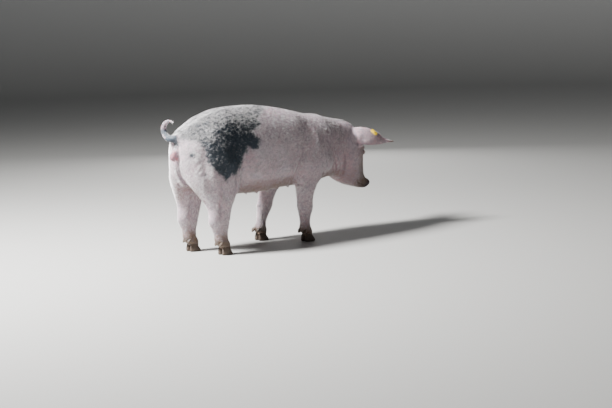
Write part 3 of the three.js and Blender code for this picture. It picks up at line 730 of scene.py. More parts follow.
def masks_at(places, normals):
    """The patch's depth and the amounts of mud with painted shade, flush and freckles, for places on the
    hide.
    """
    x, y, z = places.T
    dark = patch_depth(places)
    tail = within(places, "tail", 0.004) * (x < -0.742)
    dark = np.where(tail > 0.5, 0.035 - 0.037 * ramp(z, 0.680, 0.730), dark)
    for spot, size in SPOTS:
        dark = np.maximum(dark, size - np.linalg.norm(places - spot, axis=1))
    hind = x < -0.30
    # Mud on the feet and lower legs.
    foot = np.where(hind, ramp(-z, -0.19, -0.04), ramp(-z, -0.15, -0.03))
    soil = 0.52 * foot + 0.16 * ramp(-z, -0.30, -0.16)
    # Under the belly and on the face the same brown is partly mud and partly painted shade, and the throat is
    # darkened with it.
    belly = ramp(-normals[:, 2], 0.0, 0.95) * ramp(z, 0.25, 0.32) * ramp(-z, -0.46, -0.38)
    soil += 0.52 * belly * ramp(-x, -0.45, -0.35)
    soil += 0.40 * ramp(x, 0.45, 0.58) * ramp(-z, -0.60, -0.50)
    soil += 0.24 * ramp(x, 0.52, 0.66) * ramp(-z, -0.54, -0.30)
    soil += 0.25 * ramp(x, 0.36, 0.44) * ramp(-x, -0.54, -0.47) * ramp(-z, -0.46, -0.36)
    ear = on_ears(places, 0.01)
    tip = ear * ramp(x, 0.70, 0.765)
    soil = np.clip(soil * (1 - ear) + 0.55 * tip, 0, 1)
    rear = np.array([-0.755, 0.0, 0.572])
    flush = np.exp(-(((places - rear) / (0.05, 0.024, 0.038)) ** 2).sum(axis=1))
    flush += 0.28 * ear + 0.25 * belly + 0.35 * tail
    flush += 0.16 * ramp(x, 0.24, 0.34) * ramp(-x, -0.50, -0.40) * ramp(-normals[:, 2], -0.75, 0.1)
    for node in EYES:
        flush += 0.25 * ramp(-np.linalg.norm(places - centre_of(node), axis=1), -0.026, -0.012)
    freckled = ramp(-x, 0.42, 0.60) * ramp(z, 0.16, 0.30) + 0.6 * ramp(z, 0.45, 0.60)
    freckled += 0.4 * ramp(z, 0.62, 0.74)
    return {
        "pigment": dark, "soil": soil, "flush": np.clip(flush, 0, 1), "freckled": np.clip(freckled, 0, 1),
    }


def fold_at(places):
    """0 on open skin and 1 at the bottom of the creases cut into the hide."""
    deepest = np.zeros(len(places))
    for line, width, depth in FOLDS:
        low, high = line.min(axis=0) - 3 * width, line.max(axis=0) + 3 * width
        some = np.flatnonzero(((places > low) & (places < high)).all(axis=1))
        away = np.full(len(some), np.inf)
        for i, spot in enumerate(line):
            taper = 1 / (0.15 + 0.85 * math.sin(math.pi * (i + 1) / (len(line) + 1)))
            away = np.minimum(away, taper * np.linalg.norm(places[some] - spot, axis=1))
        deepest[some] = np.maximum(deepest[some], depth * np.exp(-((away / width) ** 2)))
    return deepest


def set_mask(mesh, name, values):
    kind, field = ("FLOAT_VECTOR", "vector") if values.ndim == 2 else ("FLOAT", "value")
    layer = mesh.attributes.new(name, kind, "POINT")
    layer.data.foreach_set(field, values.astype(np.float32).ravel())


def bend_of(mesh):
    """How tightly the surface bends at each point, per metre: above 0 in creases, below on ridges."""
    places, normals = points_of(mesh), normals_of(mesh)
    ends = np.empty(len(mesh.edges) * 2, np.int32)
    mesh.edges.foreach_get("vertices", ends)
    a, b = ends.reshape(-1, 2).T
    here, there = np.concatenate([a, b]), np.concatenate([b, a])
    step = places[there] - places[here]
    count = np.bincount(here, minlength=len(places))
    rise = np.bincount(here, weights=(step * normals[here]).sum(axis=1), minlength=len(places))
    square = np.bincount(here, weights=(step ** 2).sum(axis=1), minlength=len(places))
    bend = 4 * rise / np.maximum(square, 1e-12)
    for _ in range(2):
        bend = 0.5 * bend + 0.5 * np.bincount(here, weights=bend[there], minlength=len(places)) / count
    return bend


skin_masks = masks_at(points_of(hide.data), normals_of(hide.data))
for name, values in skin_masks.items():
    set_mask(hide.data, name, values)
# Painted shade: creases and tight hollows get a mask that darkens skin and coat colour.
bend = bend_of(hide.data)
hollow = np.maximum(ramp(bend, 40, 300), fold_at(points_of(hide.data)))
set_mask(hide.data, "hollow", hollow)
at = points_of(hide.data) - disc_middle
bare = ramp(at @ disc_out, -0.012, -0.002) * (np.linalg.norm(at, axis=1) < 0.07)
set_mask(hide.data, "bare", bare)
hide.data.shade_smooth()


def linear(code):
    """An sRGB hex colour as the linear values that Blender's sockets take."""
    parts = [int(code[i : i + 2], 16) / 255 for i in (1, 3, 5)]
    return (*(c / 12.92 if c <= 0.04045 else ((c + 0.055) / 1.055) ** 2.4 for c in parts), 1)


def add_node(tree, kind, inputs=None, **settings):
    """Adds a shader node with its settings, and gives its inputs values or links."""
    node = tree.nodes.new("ShaderNode" + kind)
    for key, value in settings.items():
        setattr(node, key, value)
    for key, value in (inputs or {}).items():
        if isinstance(value, bpy.types.NodeSocket):
            tree.links.new(value, node.inputs[key])
        else:
            node.inputs[key].default_value = value
    return node


# The markings, shared by skin and coat. Their mottling is 125 mm and 17 mm wide, and a ragged grain 4 mm.
# The patch's edge wanders by up to 18 mm with the mottling and 5 mm with the grain. Freckles lie 10 mm
# apart.
markings = bpy.data.node_groups.new("markings", "ShaderNodeTree")
for way_through, sockets in {
    "INPUT": {"Place": "Vector", "Pigment": "Float", "Soil": "Float", "Flush": "Float", "Freckled": "Float"},
    "OUTPUT": {"Colour": "Color", "Dark": "Float", "Dirt": "Float"},
}.items():
    for name, kind in sockets.items():
        markings.interface.new_socket(name, in_out=way_through, socket_type="NodeSocket" + kind)
given = markings.nodes.new("NodeGroupInput").outputs
large = add_node(
    markings, "TexNoise", {"Vector": given["Place"], "Scale": 8.0, "Detail": 2.0}
).outputs["Fac"]
mottle = add_node(
    markings, "TexNoise", {"Vector": given["Place"], "Scale": 60.0, "Detail": 3.0, "Roughness": 0.6}
).outputs["Fac"]
ragged = add_node(
    markings, "TexNoise", {"Vector": given["Place"], "Scale": 240.0, "Detail": 3.0, "Roughness": 0.65}
).outputs["Fac"]
dots = add_node(
    markings, "TexVoronoi", {"Vector": given["Place"], "Scale": 105.0, "Randomness": 1.0}
).outputs["Distance"]

pinker = add_node(markings, "Math", {0: large, 1: 0.8, 2: given["Flush"]}, operation="MULTIPLY_ADD")
pinker = add_node(markings, "Math", {0: mottle, 1: 0.7, 2: pinker.outputs[0]}, operation="MULTIPLY_ADD")
pinker = add_node(markings, "MapRange", {0: pinker.outputs[0], 1: 0.60, 2: 1.60})
flesh = add_node(
    markings, "Mix", {0: pinker.outputs[0], 6: linear("#b1a4ab"), 7: linear("#a87079")}, data_type="RGBA"
)
raw = add_node(markings, "MapRange", {0: given["Flush"], 1: 0.42, 2: 0.85, 4: 0.95})
flesh = add_node(
    markings, "Mix", {0: raw.outputs[0], 6: flesh.outputs[2], 7: linear("#81323a")}, data_type="RGBA"
)
freckle = add_node(markings, "MapRange", {0: dots, 1: 0.42, 2: 0.18, 3: 0.0, 4: 0.85})
freckle = add_node(markings, "Math", {0: freckle.outputs[0], 1: given["Freckled"]}, operation="MULTIPLY")
blotch = add_node(markings, "MapRange", {0: mottle, 1: 0.54, 2: 0.40, 3: 0.0, 4: 0.70})
flesh = add_node(
    markings, "Mix", {0: blotch.outputs[0], 6: flesh.outputs[2], 7: linear("#80737c")}, data_type="RGBA"
)
often = add_node(markings, "MapRange", {0: mottle, 1: 0.45, 2: 0.55})
freckle = add_node(markings, "Math", {0: freckle.outputs[0], 1: often.outputs[0]}, operation="MULTIPLY")
flesh = add_node(
    markings, "Mix", {0: freckle.outputs[0], 6: flesh.outputs[2], 7: linear("#67636b")}, data_type="RGBA"
)
edge = add_node(markings, "MapRange", {0: mottle, 1: 0.2, 2: 0.8, 3: -0.018, 4: 0.018})
edge = add_node(markings, "Math", {0: edge.outputs[0], 1: given["Pigment"]}, operation="ADD")
fine_edge = add_node(markings, "MapRange", {0: ragged, 1: 0.2, 2: 0.8, 3: -0.005, 4: 0.005})
edge = add_node(markings, "Math", {0: edge.outputs[0], 1: fine_edge.outputs[0]}, operation="ADD")
dark = add_node(markings, "MapRange", {0: edge.outputs[0], 1: -0.006, 2: 0.007})
slate = add_node(markings, "Mix", {0: ragged, 6: linear("#1a222d"), 7: linear("#38434e")}, data_type="RGBA")
marked = add_node(
    markings, "Mix", {0: dark.outputs[0], 6: flesh.outputs[2], 7: slate.outputs[2]}, data_type="RGBA"
)
# Mud cakes over the markings; on belly and face the same brown is partly painted shade.
caked = add_node(markings, "Math", {0: mottle, 1: 0.7, 2: given["Soil"]}, operation="MULTIPLY_ADD")
caked = add_node(markings, "Math", {0: ragged, 1: 0.35, 2: caked.outputs[0]}, operation="MULTIPLY_ADD")
caked = add_node(markings, "MapRange", {0: caked.outputs[0], 1: 0.70, 2: 1.16})
mud_and_shade_colour = add_node(markings, "Mix", {0: mottle, 6: linear("#3b2f28"), 7: linear("#6f5a48")}, data_type="RGBA")
finished = add_node(
    markings, "Mix", {0: caked.outputs[0], 6: marked.outputs[2], 7: mud_and_shade_colour.outputs[2]}, data_type="RGBA"
)
result = markings.nodes.new("NodeGroupOutput").inputs
markings.links.new(finished.outputs[2], result["Colour"])
markings.links.new(dark.outputs[0], result["Dark"])
markings.links.new(caked.outputs[0], result["Dirt"])


def new_material(name):
    material = bpy.data.materials.new(name)
    material.use_nodes = True
    tree = material.node_tree
    return material, tree, tree.nodes["Principled BSDF"]


# Living skin: matt and slightly see-through, so its shadows are warm. Its fine net of creases is
# 3 mm wide, and the flat bristles between the drawn ones show as streaks 20 mm long and 2 mm wide.
skin, tree, surface = new_material("living_skin")
place = add_node(tree, "TexCoord").outputs["Object"]
mask = {
    name: add_node(tree, "Attribute", attribute_name=name).outputs["Fac"]
    for name in ("pigment", "soil", "flush", "freckled", "hollow", "bare")
}
painted = add_node(tree, "Group", node_tree=markings)
tree.links.new(place, painted.inputs["Place"])
for name in ("pigment", "soil", "flush", "freckled"):
    tree.links.new(mask[name], painted.inputs[name.capitalize()])
leather = add_node(
    tree, "TexNoise", {"Vector": place, "Scale": 160.0, "Detail": 4.0, "Roughness": 0.6}
).outputs["Fac"]
# The bare disc is near black, partly its own dark skin and partly painted shade.
disc_skin = add_node(
    tree, "Mix", {0: leather, 6: linear("#2e282a"), 7: linear("#5d4e4f")}, data_type="RGBA"
)
colour = add_node(
    tree, "Mix", {0: mask["bare"], 6: painted.outputs["Colour"], 7: disc_skin.outputs[2]}, data_type="RGBA"
)
# Painted shade in creases and hollows: the skin is darkened towards a dark brown.
shade = add_node(tree, "Math", {0: mask["hollow"], 1: 0.72}, operation="MULTIPLY")
colour = add_node(
    tree, "Mix", {0: shade.outputs[0], 6: colour.outputs[2], 7: linear("#3a2a2a")}, data_type="RGBA"
)
tree.links.new(colour.outputs[2], surface.inputs["Base Color"])
gloss = add_node(tree, "MapRange", {0: leather, 1: 0.3, 2: 0.7, 3: 0.50, 4: 0.68})
tree.links.new(gloss.outputs[0], surface.inputs["Roughness"])
surface.inputs["Subsurface Weight"].default_value = 0.15
surface.inputs["Subsurface Radius"].default_value = (1.0, 0.35, 0.2)
surface.inputs["Subsurface Scale"].default_value = 0.006
surface.inputs["Specular IOR Level"].default_value = 0.4

along_body = add_node(
    tree, "Mapping", {"Vector": place, "Rotation": (0, -0.35, 0), "Scale": (50, 420, 420)}
)
down_leg = add_node(tree, "Mapping", {"Vector": place, "Scale": (420, 420, 60)})
height = add_node(tree, "SeparateXYZ", {0: place}).outputs["Z"]
limb = add_node(tree, "MapRange", {0: height, 1: 0.40, 2: 0.28})
way = add_node(
    tree, "Mix", {0: limb.outputs[0], 4: along_body.outputs[0], 5: down_leg.outputs[0]}, data_type="VECTOR"
)
streaks = add_node(tree, "TexNoise", {"Vector": way.outputs[1], "Scale": 1.0, "Detail": 2.0})
net = add_node(tree, "TexVoronoi", {"Vector": place, "Scale": 330.0}, feature="DISTANCE_TO_EDGE")
net = add_node(tree, "MapRange", {0: net.outputs["Distance"], 1: 0.0, 2: 0.12})
relief_sum = add_node(
    tree, "Math", {0: streaks.outputs["Fac"], 1: 1.6, 2: leather}, operation="MULTIPLY_ADD"
)
relief_sum = add_node(
    tree, "Math", {0: net.outputs[0], 1: 0.16, 2: relief_sum.outputs[0]}, operation="MULTIPLY_ADD"
)
bump = add_node(tree, "Bump", {"Strength": 0.55, "Distance": 0.0008, "Height": relief_sum.outputs[0]})
tree.links.new(bump.outputs[0], surface.inputs["Normal"])
hide.data.materials.clear()
hide.data.materials.append(skin)
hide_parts(*FLESH)

# ---------------------------------------------------------------- eyes
# Small brown eyes, a wet ball with a clear bulge over the iris, and an oval pupil that lies level.
# Each is a sphere turned to look out of its lids.

IRIS, PUPIL_WIDE, PUPIL_HIGH = 0.70, 0.36, 0.24  # as shares of the ball's radius
eyeball, tree, surface = new_material("wet_eyeball")
gaze = add_node(tree, "Attribute", attribute_name="gaze").outputs["Vector"]
flat = add_node(tree, "VectorMath", {0: gaze, 1: (1, 1, 0)}, operation="MULTIPLY").outputs[0]
out_from = add_node(tree, "VectorMath", {0: flat}, operation="LENGTH").outputs["Value"]
oval = add_node(tree, "VectorMath", {0: gaze, 1: (1 / PUPIL_WIDE, 1 / PUPIL_HIGH, 0)}, operation="MULTIPLY")
oval = add_node(tree, "VectorMath", {0: oval.outputs[0]}, operation="LENGTH").outputs["Value"]
spoke = add_node(tree, "VectorMath", {0: flat}, operation="NORMALIZE").outputs[0]
spoke = add_node(tree, "VectorMath", {0: flat, 1: (0.5, 0.5, 0.5), 2: spoke}, operation="MULTIPLY_ADD")
fibres = add_node(tree, "TexNoise", {"Vector": spoke.outputs[0], "Scale": 11.0, "Detail": 3.0})
fibres = add_node(tree, "MapRange", {0: fibres.outputs["Fac"], 1: 0.35, 2: 0.65})
iris = add_node(
    tree, "Mix", {0: fibres.outputs[0], 6: linear("#24160e"), 7: linear("#573721")}, data_type="RGBA"
)
rim_dark = add_node(tree, "MapRange", {0: out_from, 1: IRIS - 0.14, 2: IRIS - 0.01})
iris = add_node(
    tree, "Mix", {0: rim_dark.outputs[0], 6: iris.outputs[2], 7: linear("#1c120c")}, data_type="RGBA"
)
in_pupil = add_node(tree, "MapRange", {0: oval, 1: 1.08, 2: 0.92})
iris = add_node(
    tree, "Mix", {0: in_pupil.outputs[0], 6: iris.outputs[2], 7: linear("#050404")}, data_type="RGBA"
)
veins = add_node(tree, "TexNoise", {"Vector": gaze, "Scale": 7.0, "Detail": 5.0, "Distortion": 1.5})
white = add_node(
    tree, "Mix", {0: veins.outputs["Fac"], 6: linear("#85746a"), 7: linear("#5f3f38")}, data_type="RGBA"
)
beyond = add_node(tree, "MapRange", {0: out_from, 1: IRIS - 0.01, 2: IRIS + 0.03})
colour = add_node(
    tree, "Mix", {0: beyond.outputs[0], 6: iris.outputs[2], 7: white.outputs[2]}, data_type="RGBA"
)
tree.links.new(colour.outputs[2], surface.inputs["Base Color"])
surface.inputs["Roughness"].default_value = 0.16
surface.inputs["IOR"].default_value = 1.38
surface.inputs["Coat Weight"].default_value = 1.0
surface.inputs["Coat Roughness"].default_value = 0.03

for node, (middle, ball, out, inner, top) in eye_axes.items():
    shape = bmesh.new()
    bmesh.ops.create_uvsphere(shape, u_segments=56, v_segments=40, radius=ball - 0.0002)
    for v in shape.verts:
        off = math.hypot(v.co.x, v.co.y) / ball
        if v.co.z > 0 and off < IRIS + 0.06:
            v.co.z += 0.0010 * (0.5 + 0.5 * math.cos(math.pi * off / (IRIS + 0.06)))
    bmesh.ops.triangulate(shape, faces=shape.faces)
    local = np.array([v.co for v in shape.verts]) / ball
    axes = Matrix((inner, top, out)).transposed().to_4x4()
    bmesh.ops.transform(shape, matrix=Matrix.Translation(middle) @ axes, verts=shape.verts)
    bmesh.ops.recalc_face_normals(shape, faces=shape.faces)
    piece = new_piece(node + "_ball", shape)
    set_mask(piece.data, "gaze", local)
    piece.data.shade_smooth()
    piece.data.materials.append(eyeball)
    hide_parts(node)

# ---------------------------------------------------------------- claws and dewclaws
# Each foot has two claws that bear on the ground and two dewclaws behind: hollow horn, grown down in
# rings and worn flat below. The solids are welded finer, their edges worn round and the rings raised.

RING = 0.0048  # from one growth ring to the next
DEWCLAW_IN = 0.009  # how far each dewclaw is set into its boss of skin
horn, tree, surface = new_material("weathered_horn")
place = add_node(tree, "TexCoord").outputs["Object"]
# Growth fibres run down the wall, 2 mm apart, with mud rubbed in between them.
grain = add_node(tree, "Mapping", {"Vector": place, "Scale": (480, 480, 60)})
grain = add_node(tree, "TexNoise", {"Vector": grain.outputs[0], "Scale": 1.0, "Detail": 3.0}).outputs["Fac"]
patches = add_node(tree, "TexNoise", {"Vector": place, "Scale": 70.0, "Detail": 4.0}).outputs["Fac"]
colour = add_node(tree, "Mix", {0: grain, 6: linear("#1d1815"), 7: linear("#5c4c3f")}, data_type="RGBA")
caked = add_node(tree, "MapRange", {0: patches, 1: 0.48, 2: 0.62})
colour = add_node(
    tree, "Mix", {0: caked.outputs[0], 6: colour.outputs[2], 7: linear("#4b3c30")}, data_type="RGBA"
)
tree.links.new(colour.outputs[2], surface.inputs["Base Color"])
gloss = add_node(tree, "MapRange", {0: patches, 1: 0.3, 2: 0.7, 3: 0.42, 4: 0.80})
tree.links.new(gloss.outputs[0], surface.inputs["Roughness"])
both = add_node(tree, "Math", {0: grain, 1: patches}, operation="ADD")
bump = add_node(tree, "Bump", {"Strength": 0.6, "Distance": 0.0006, "Height": both.outputs[0]})
tree.links.new(bump.outputs[0], surface.inputs["Normal"])

for leg in LEGS:
    nodes = [f"{leg}_{kind}_{place}" for kind in ("claw", "dewclaw") for place in ("inner", "outer")]
    feet = bmesh.new()
    for name in nodes:
        first = len(feet.verts)
        feet.from_mesh(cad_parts[name].data)
        if "dewclaw" in name:  # made a little blunter and stouter
            feet.verts.ensure_lookup_table()
            low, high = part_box(name)
            root = Matrix.Translation((-(low.x + high.x) / 2, -(low.y + high.y) / 2, -high.z))
            bmesh.ops.scale(feet, vec=(1.15, 1.25, 0.80), space=root, verts=feet.verts[first:])
            bmesh.ops.translate(feet, vec=(DEWCLAW_IN, 0, 0.001), verts=feet.verts[first:])
    bmesh.ops.remove_doubles(feet, verts=feet.verts, dist=1e-6)
    claws = new_piece(leg + "_claws", feet)
    weld(claws, 0.0016)
    wear_down(claws.data, np.full(len(claws.data.vertices), 0.0015))
    relief = Relief(claws)
    x, y, z = relief.places.T
    wall = ramp(-np.abs(relief.normals[:, 2]), -0.85, -0.5) * ramp(z, 0.003, 0.010)
    grown = z + 0.18 * (x - x.min()) + 0.0008 * np.sin(y * 300)
    relief.height += wall * 0.00020 * np.sin(2 * np.pi * grown / RING)
    relief.height += waves(relief.places, 0.016, 0.0003) * ramp(z, 0.0, 0.01)
    relief.press()
    places = points_of(claws.data)
    lowest = places[:, 2].min()
    places[:, 2] = np.maximum(places[:, 2] - lowest, 0)
    move_to(claws.data, places)
    claws.data.shade_smooth()
    claws.data.materials.append(horn)
    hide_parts(*nodes)

# ---------------------------------------------------------------- ear tag
# A small blank two-piece tag of yellow moulded polyurethane, its plate behind the ear and its button
# inside, joined by a stud through the ear. Its moulded edges are rounded.

tag_plastic, tree, surface = new_material("moulded_polyurethane")
place = add_node(tree, "TexCoord").outputs["Object"]
# Rubbed and dusty after months outdoors: dull 6 mm patches over a fine spark-eroded surface.
dust = add_node(tree, "TexNoise", {"Vector": place, "Scale": 170.0, "Detail": 5.0}).outputs["Fac"]
settled = add_node(tree, "MapRange", {0: dust, 1: 0.50, 2: 0.75, 3: 0.0, 4: 0.4})
colour = add_node(
    tree, "Mix", {0: settled.outputs[0], 6: linear("#e8c21a"), 7: linear("#a88a3c")}, data_type="RGBA"
)
tree.links.new(colour.outputs[2], surface.inputs["Base Color"])
gloss = add_node(tree, "MapRange", {0: dust, 1: 0.3, 2: 0.7, 3: 0.35, 4: 0.60})
tree.links.new(gloss.outputs[0], surface.inputs["Roughness"])
surface.inputs["IOR"].default_value = 1.5
eroded = add_node(tree, "TexNoise", {"Vector": place, "Scale": 1800.0, "Detail": 2.0})
bump = add_node(tree, "Bump", {"Strength": 0.3, "Distance": 0.0002, "Height": eroded.outputs["Fac"]})
tree.links.new(bump.outputs[0], surface.inputs["Normal"])

shape = bmesh.new()
shape.from_mesh(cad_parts["ear_tag"].data)
bmesh.ops.remove_doubles(shape, verts=shape.verts, dist=1e-6)
bmesh.ops.dissolve_limit(shape, angle_limit=math.radians(3), verts=shape.verts, edges=shape.edges)
bmesh.ops.recalc_face_normals(shape, faces=shape.faces)
sharp = [e for e in shape.edges if len(e.link_faces) == 2 and e.calc_face_angle() > math.radians(50)]
bmesh.ops.bevel(
    shape, geom=sharp, offset=0.0006, affect="EDGES", segments=3, profile=0.5, material=-1, clamp_overlap=True
)
bmesh.ops.triangulate(shape, faces=shape.faces)
tag = new_piece("ear_tag_two_piece", shape)
tag.data.shade_smooth()
tag.data.materials.append(tag_plastic)
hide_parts("ear_tag")

# ---------------------------------------------------------------- coat
# White bristles, sparse enough for the skin to show, lying back along the body and down the legs. They
# grow in small tufts, each a fan of closed three-sided bristles that draws together at its tips. They
# are longest on the crest, and short on legs, ears and face.

TUFT = 5  # bristles in a tuft
SPREAD = 0.0070  # how far apart a tuft's roots are
PATCH_WIDTH = 0.003  # the size of one tuft's patch on the bake map
THIN = 1.0
TUFTS = int(72_000 * THIN)


def template_of(shape):
    """The points of a bristle that grows from 0 to 1 along z, and its triangles."""
    points = np.array([v.co for v in shape.verts]) + (0, 0, 0.5)
    return points, np.array([[v.index for v in f.verts] for f in shape.faces])


bristle = bmesh.new()
bmesh.ops.create_cone(bristle, segments=3, radius1=1, radius2=0, depth=1, cap_ends=True)
bmesh.ops.triangulate(bristle, faces=bristle.faces)
straight = template_of(bristle)
for level in (-0.2, 0.1, 0.3):  # more rings, so that lashes and whiskers can droop
    everything = [*bristle.verts, *bristle.edges, *bristle.faces]
    bmesh.ops.bisect_plane(bristle, geom=everything, plane_co=(0, 0, level), plane_no=(0, 0, 1))
bmesh.ops.triangulate(bristle, faces=bristle.faces)
bristle.verts.index_update()
bent = template_of(bristle)
bristle.free()

# The bake map lays each tuft at its root's place on the hide's own unwrap.
bpy.context.view_layer.objects.active = hide
hide.select_set(True)
hide.data.uv_layers.new(name="OFBake")
bpy.ops.object.mode_set(mode="EDIT")
bpy.ops.mesh.select_all(action="SELECT")
bpy.ops.uv.smart_project(angle_limit=math.radians(66), island_margin=0.002)
bpy.ops.object.mode_set(mode="OBJECT")
hide.select_set(False)

hide.data.calc_loop_triangles()
count = len(hide.data.loop_triangles)
corners = np.empty(count * 3, np.int32)
hide.data.loop_triangles.foreach_get("vertices", corners)
loops = np.empty(count * 3, np.int32)
hide.data.loop_triangles.foreach_get("loops", loops)
corners, loops = corners.reshape(-1, 3), loops.reshape(-1, 3)
unwrap = np.empty(len(hide.data.loops) * 2, np.float32)
hide.data.uv_layers["OFBake"].data.foreach_get("uv", unwrap)
unwrap = unwrap.reshape(-1, 2)
hide_places, hide_normals = points_of(hide.data), normals_of(hide.data)
ear_rim = ramp(-bend, 180, 420) * on_ears(hide_places, 0.004)


def scatter(count, density):
    """Chance places on the hide, as many to the area as the density over its points says."""
    a, b, c = (hide_places[corners[:, i]] for i in range(3))
    area = np.linalg.norm(np.cross(b - a, c - a), axis=1) / 2 * density[corners].mean(axis=1)
    picked = chance.choice(len(area), size=count, p=area / area.sum())
    share = chance.dirichlet((1, 1, 1), size=count)
    place = (hide_places[corners[picked]] * share[:, :, None]).sum(axis=1)
    normal = (hide_normals[corners[picked]] * share[:, :, None]).sum(axis=1)
    normal /= np.linalg.norm(normal, axis=1)[:, None]
    patch = (unwrap[loops[picked]] * share[:, :, None]).sum(axis=1)
    folds_and_rims = np.column_stack([hollow, ear_rim])[corners[picked]]
    return place, normal, patch, (folds_and_rims * share[:, :, None]).sum(axis=1).T


def weights_of(places, normals):
    """How much each place belongs to the regions of the coat."""
    x, y, z = places.T
    ear = on_ears(places, 0.004)
    tail = within(places, "tail", 0.006) * ramp(-x, 0.738, 0.746)
    leg = ramp(-z, -0.36, -0.28)
    head = ramp(x, 0.40, 0.47) * (1 - ear)
    crest = ramp(-np.abs(y), -0.045, -0.015) * ramp(normals[:, 2], 0.5, 0.8) * ramp(x, 0.0, 0.14) * (1 - ear)
    crest *= ramp(-x, -0.56, -0.48)
    belly = ramp(-normals[:, 2], 0.3, 0.8) * (1 - leg)
    return {"ear": ear, "tail": tail, "leg": leg, "head": head, "crest": crest, "belly": belly}


def lie_of(places, normals):
    """The way the bristles lie: back along the trunk, down the legs, up the face, out along ears and tail."""
    x, y, z = places.T
    w = weights_of(places, normals)
    side = np.sign(y)
    down = 0.25 + 0.75 * ramp(-x, 0.45, 0.72)
    way = np.column_stack([-np.ones(len(x)), 0 * x, -down])
    way += w["leg"][:, None] * ((-0.15, 0, -1.6) - way)
    up_face = np.column_stack([-0.62 + 0 * x, 0.15 * side, 0.78 * ramp(x, 0.46, 0.56)])
    way += w["head"][:, None] * (up_face - way)
    out_along_ear = np.column_stack([0.90 + 0 * x, 0.31 * side, -0.2 + 0 * x])
    way += w["ear"][:, None] * (out_along_ear - way)
    curl = np.array([-0.757, 0.035, 0.718])
    round_curl = np.cross(places - curl, (1.0, 0.0, 0.0))
    round_curl /= np.linalg.norm(round_curl, axis=1)[:, None] + 1e-9
    way += w["tail"][:, None] * (-round_curl - way)
    swirl = np.column_stack([waves(places, 0.09, 0.13) for _ in range(3)])
    way = way + swirl
    way -= normals * (way * normals).sum(axis=1)[:, None]
    return way / (np.linalg.norm(way, axis=1)[:, None] + 1e-9)


def turned(way, normals, degrees):
    """The ways turned about the normals by chance angles of about so many degrees."""
    angle = np.radians(chance.normal(0, 1, len(way)) * degrees)[:, None]
    return way * np.cos(angle) + np.cross(normals, way) * np.sin(angle)


coat, tree, surface = new_material("white_bristle")
# A bristle takes its colour from the markings at its root, so that coat and skin agree. The dark
# hairs stop short of the dark skin's edge, and white ones grow among them.
root = add_node(tree, "Attribute", attribute_name="root").outputs["Vector"]
mask = {
    name: add_node(tree, "Attribute", attribute_name=name).outputs["Fac"]
    for name in ("pigment", "soil", "luck_and_painted_light", "tone", "crease")
}
short_of = add_node(tree, "Math", {0: mask["pigment"], 1: 0.007}, operation="SUBTRACT")
painted = add_node(tree, "Group", node_tree=markings)
for socket, source in {"Place": root, "Pigment": short_of.outputs[0], "Soil": mask["soil"]}.items():
    tree.links.new(source, painted.inputs[socket])
# Whether a bristle is dark depends on its luck value, which is shifted towards white where the surface faces
# the key light, a painted light.
is_dark = add_node(tree, "MapRange", {0: mask["luck_and_painted_light"], 1: 0.42, 2: 0.50, 3: 1.0, 4: 0.0})
is_dark = add_node(tree, "Math", {0: is_dark.outputs[0], 1: painted.outputs["Dark"]}, operation="MULTIPLY")
white = add_node(
    tree, "Mix", {0: mask["tone"], 6: linear("#f6f5f6"), 7: linear("#dad6d4")}, data_type="RGBA"
)
colour = add_node(
    tree, "Mix", {0: is_dark.outputs[0], 6: white.outputs[2], 7: linear("#282c34")}, data_type="RGBA"
)
# Mud on the bristles, which on belly and face is partly painted shade.
mud_and_shade_on_hair = add_node(tree, "Math", {0: painted.outputs["Dirt"], 1: 0.85}, operation="MULTIPLY")
colour = add_node(
    tree, "Mix", {0: mud_and_shade_on_hair.outputs[0], 6: colour.outputs[2], 7: linear("#7d6850")}, data_type="RGBA"
)
# Painted shade over creases: bristles there are darkened towards a dark brown.
deep = add_node(tree, "Math", {0: mask["crease"], 1: 0.75}, operation="MULTIPLY")
colour = add_node(
    tree, "Mix", {0: deep.outputs[0], 6: colour.outputs[2], 7: linear("#5c4a45")}, data_type="RGBA"
)
tree.links.new(colour.outputs[2], surface.inputs["Base Color"])
surface.inputs["Roughness"].default_value = 0.42
surface.inputs["Sheen Weight"].default_value = 0.15


def plant(name, template, tufts, creases, roots, normals, ways, lengths, radii, droop, unwrapped):
    """One joined piece of bristles. All but the name and template have a row for each bristle."""
    points, faces = template
    across = np.cross(normals, ways)
    across /= np.linalg.norm(across, axis=1)[:, None]
    proud = np.cross(ways, across)
    t = points[:, 2]
    places = (
        roots[:, None]
        + across[:, None] * (points[:, 0] * radii[:, None])[:, :, None]
        + proud[:, None] * (points[:, 1] * radii[:, None])[:, :, None]
        + ways[:, None] * (t * lengths[:, None])[:, :, None]
        + droop[:, None] * (t ** 2 * lengths[:, None])[:, :, None]
    )
    number, size = places.shape[:2]
    mesh = bpy.data.meshes.new(name)
    mesh.vertices.add(number * size)
    mesh.vertices.foreach_set("co", places.astype(np.float32).ravel())
    indices = (faces[None] + size * np.arange(number)[:, None, None]).ravel().astype(np.int32)
    mesh.loops.add(len(indices))
    mesh.loops.foreach_set("vertex_index", indices)
    mesh.polygons.add(len(indices) // 3)
    mesh.polygons.foreach_set("loop_start", np.arange(0, len(indices), 3, dtype=np.int32))
    mesh.update(calc_edges=True)
    slot = (np.arange(number) % TUFT + 0.5) / TUFT - 0.5
    patch = np.stack(
        [
            unwrapped[:, :1] + PATCH_WIDTH * (t - 0.5),
            unwrapped[:, 1:] + PATCH_WIDTH * (slot[:, None] + 0.12 * points[:, 0]),
        ],
        axis=2,
    )
    layer = mesh.uv_layers.new(name="OFBake")
    layer.data.foreach_set("uv", patch.reshape(-1, 2)[indices].astype(np.float32).ravel())
    found = masks_at(roots, normals)
    for mask_name in ("pigment", "soil"):
        set_mask(mesh, mask_name, np.repeat(found[mask_name], size))
    set_mask(mesh, "root", np.repeat(roots, size, axis=0))
    set_mask(mesh, "luck_and_painted_light", np.repeat(tufts, size))
    set_mask(mesh, "tone", np.repeat(chance.random(number), size))
    set_mask(mesh, "crease", np.repeat(creases, size))
    mesh.shade_flat()
    mesh.materials.append(coat)
    piece = new_piece(name, mesh)
    return piece


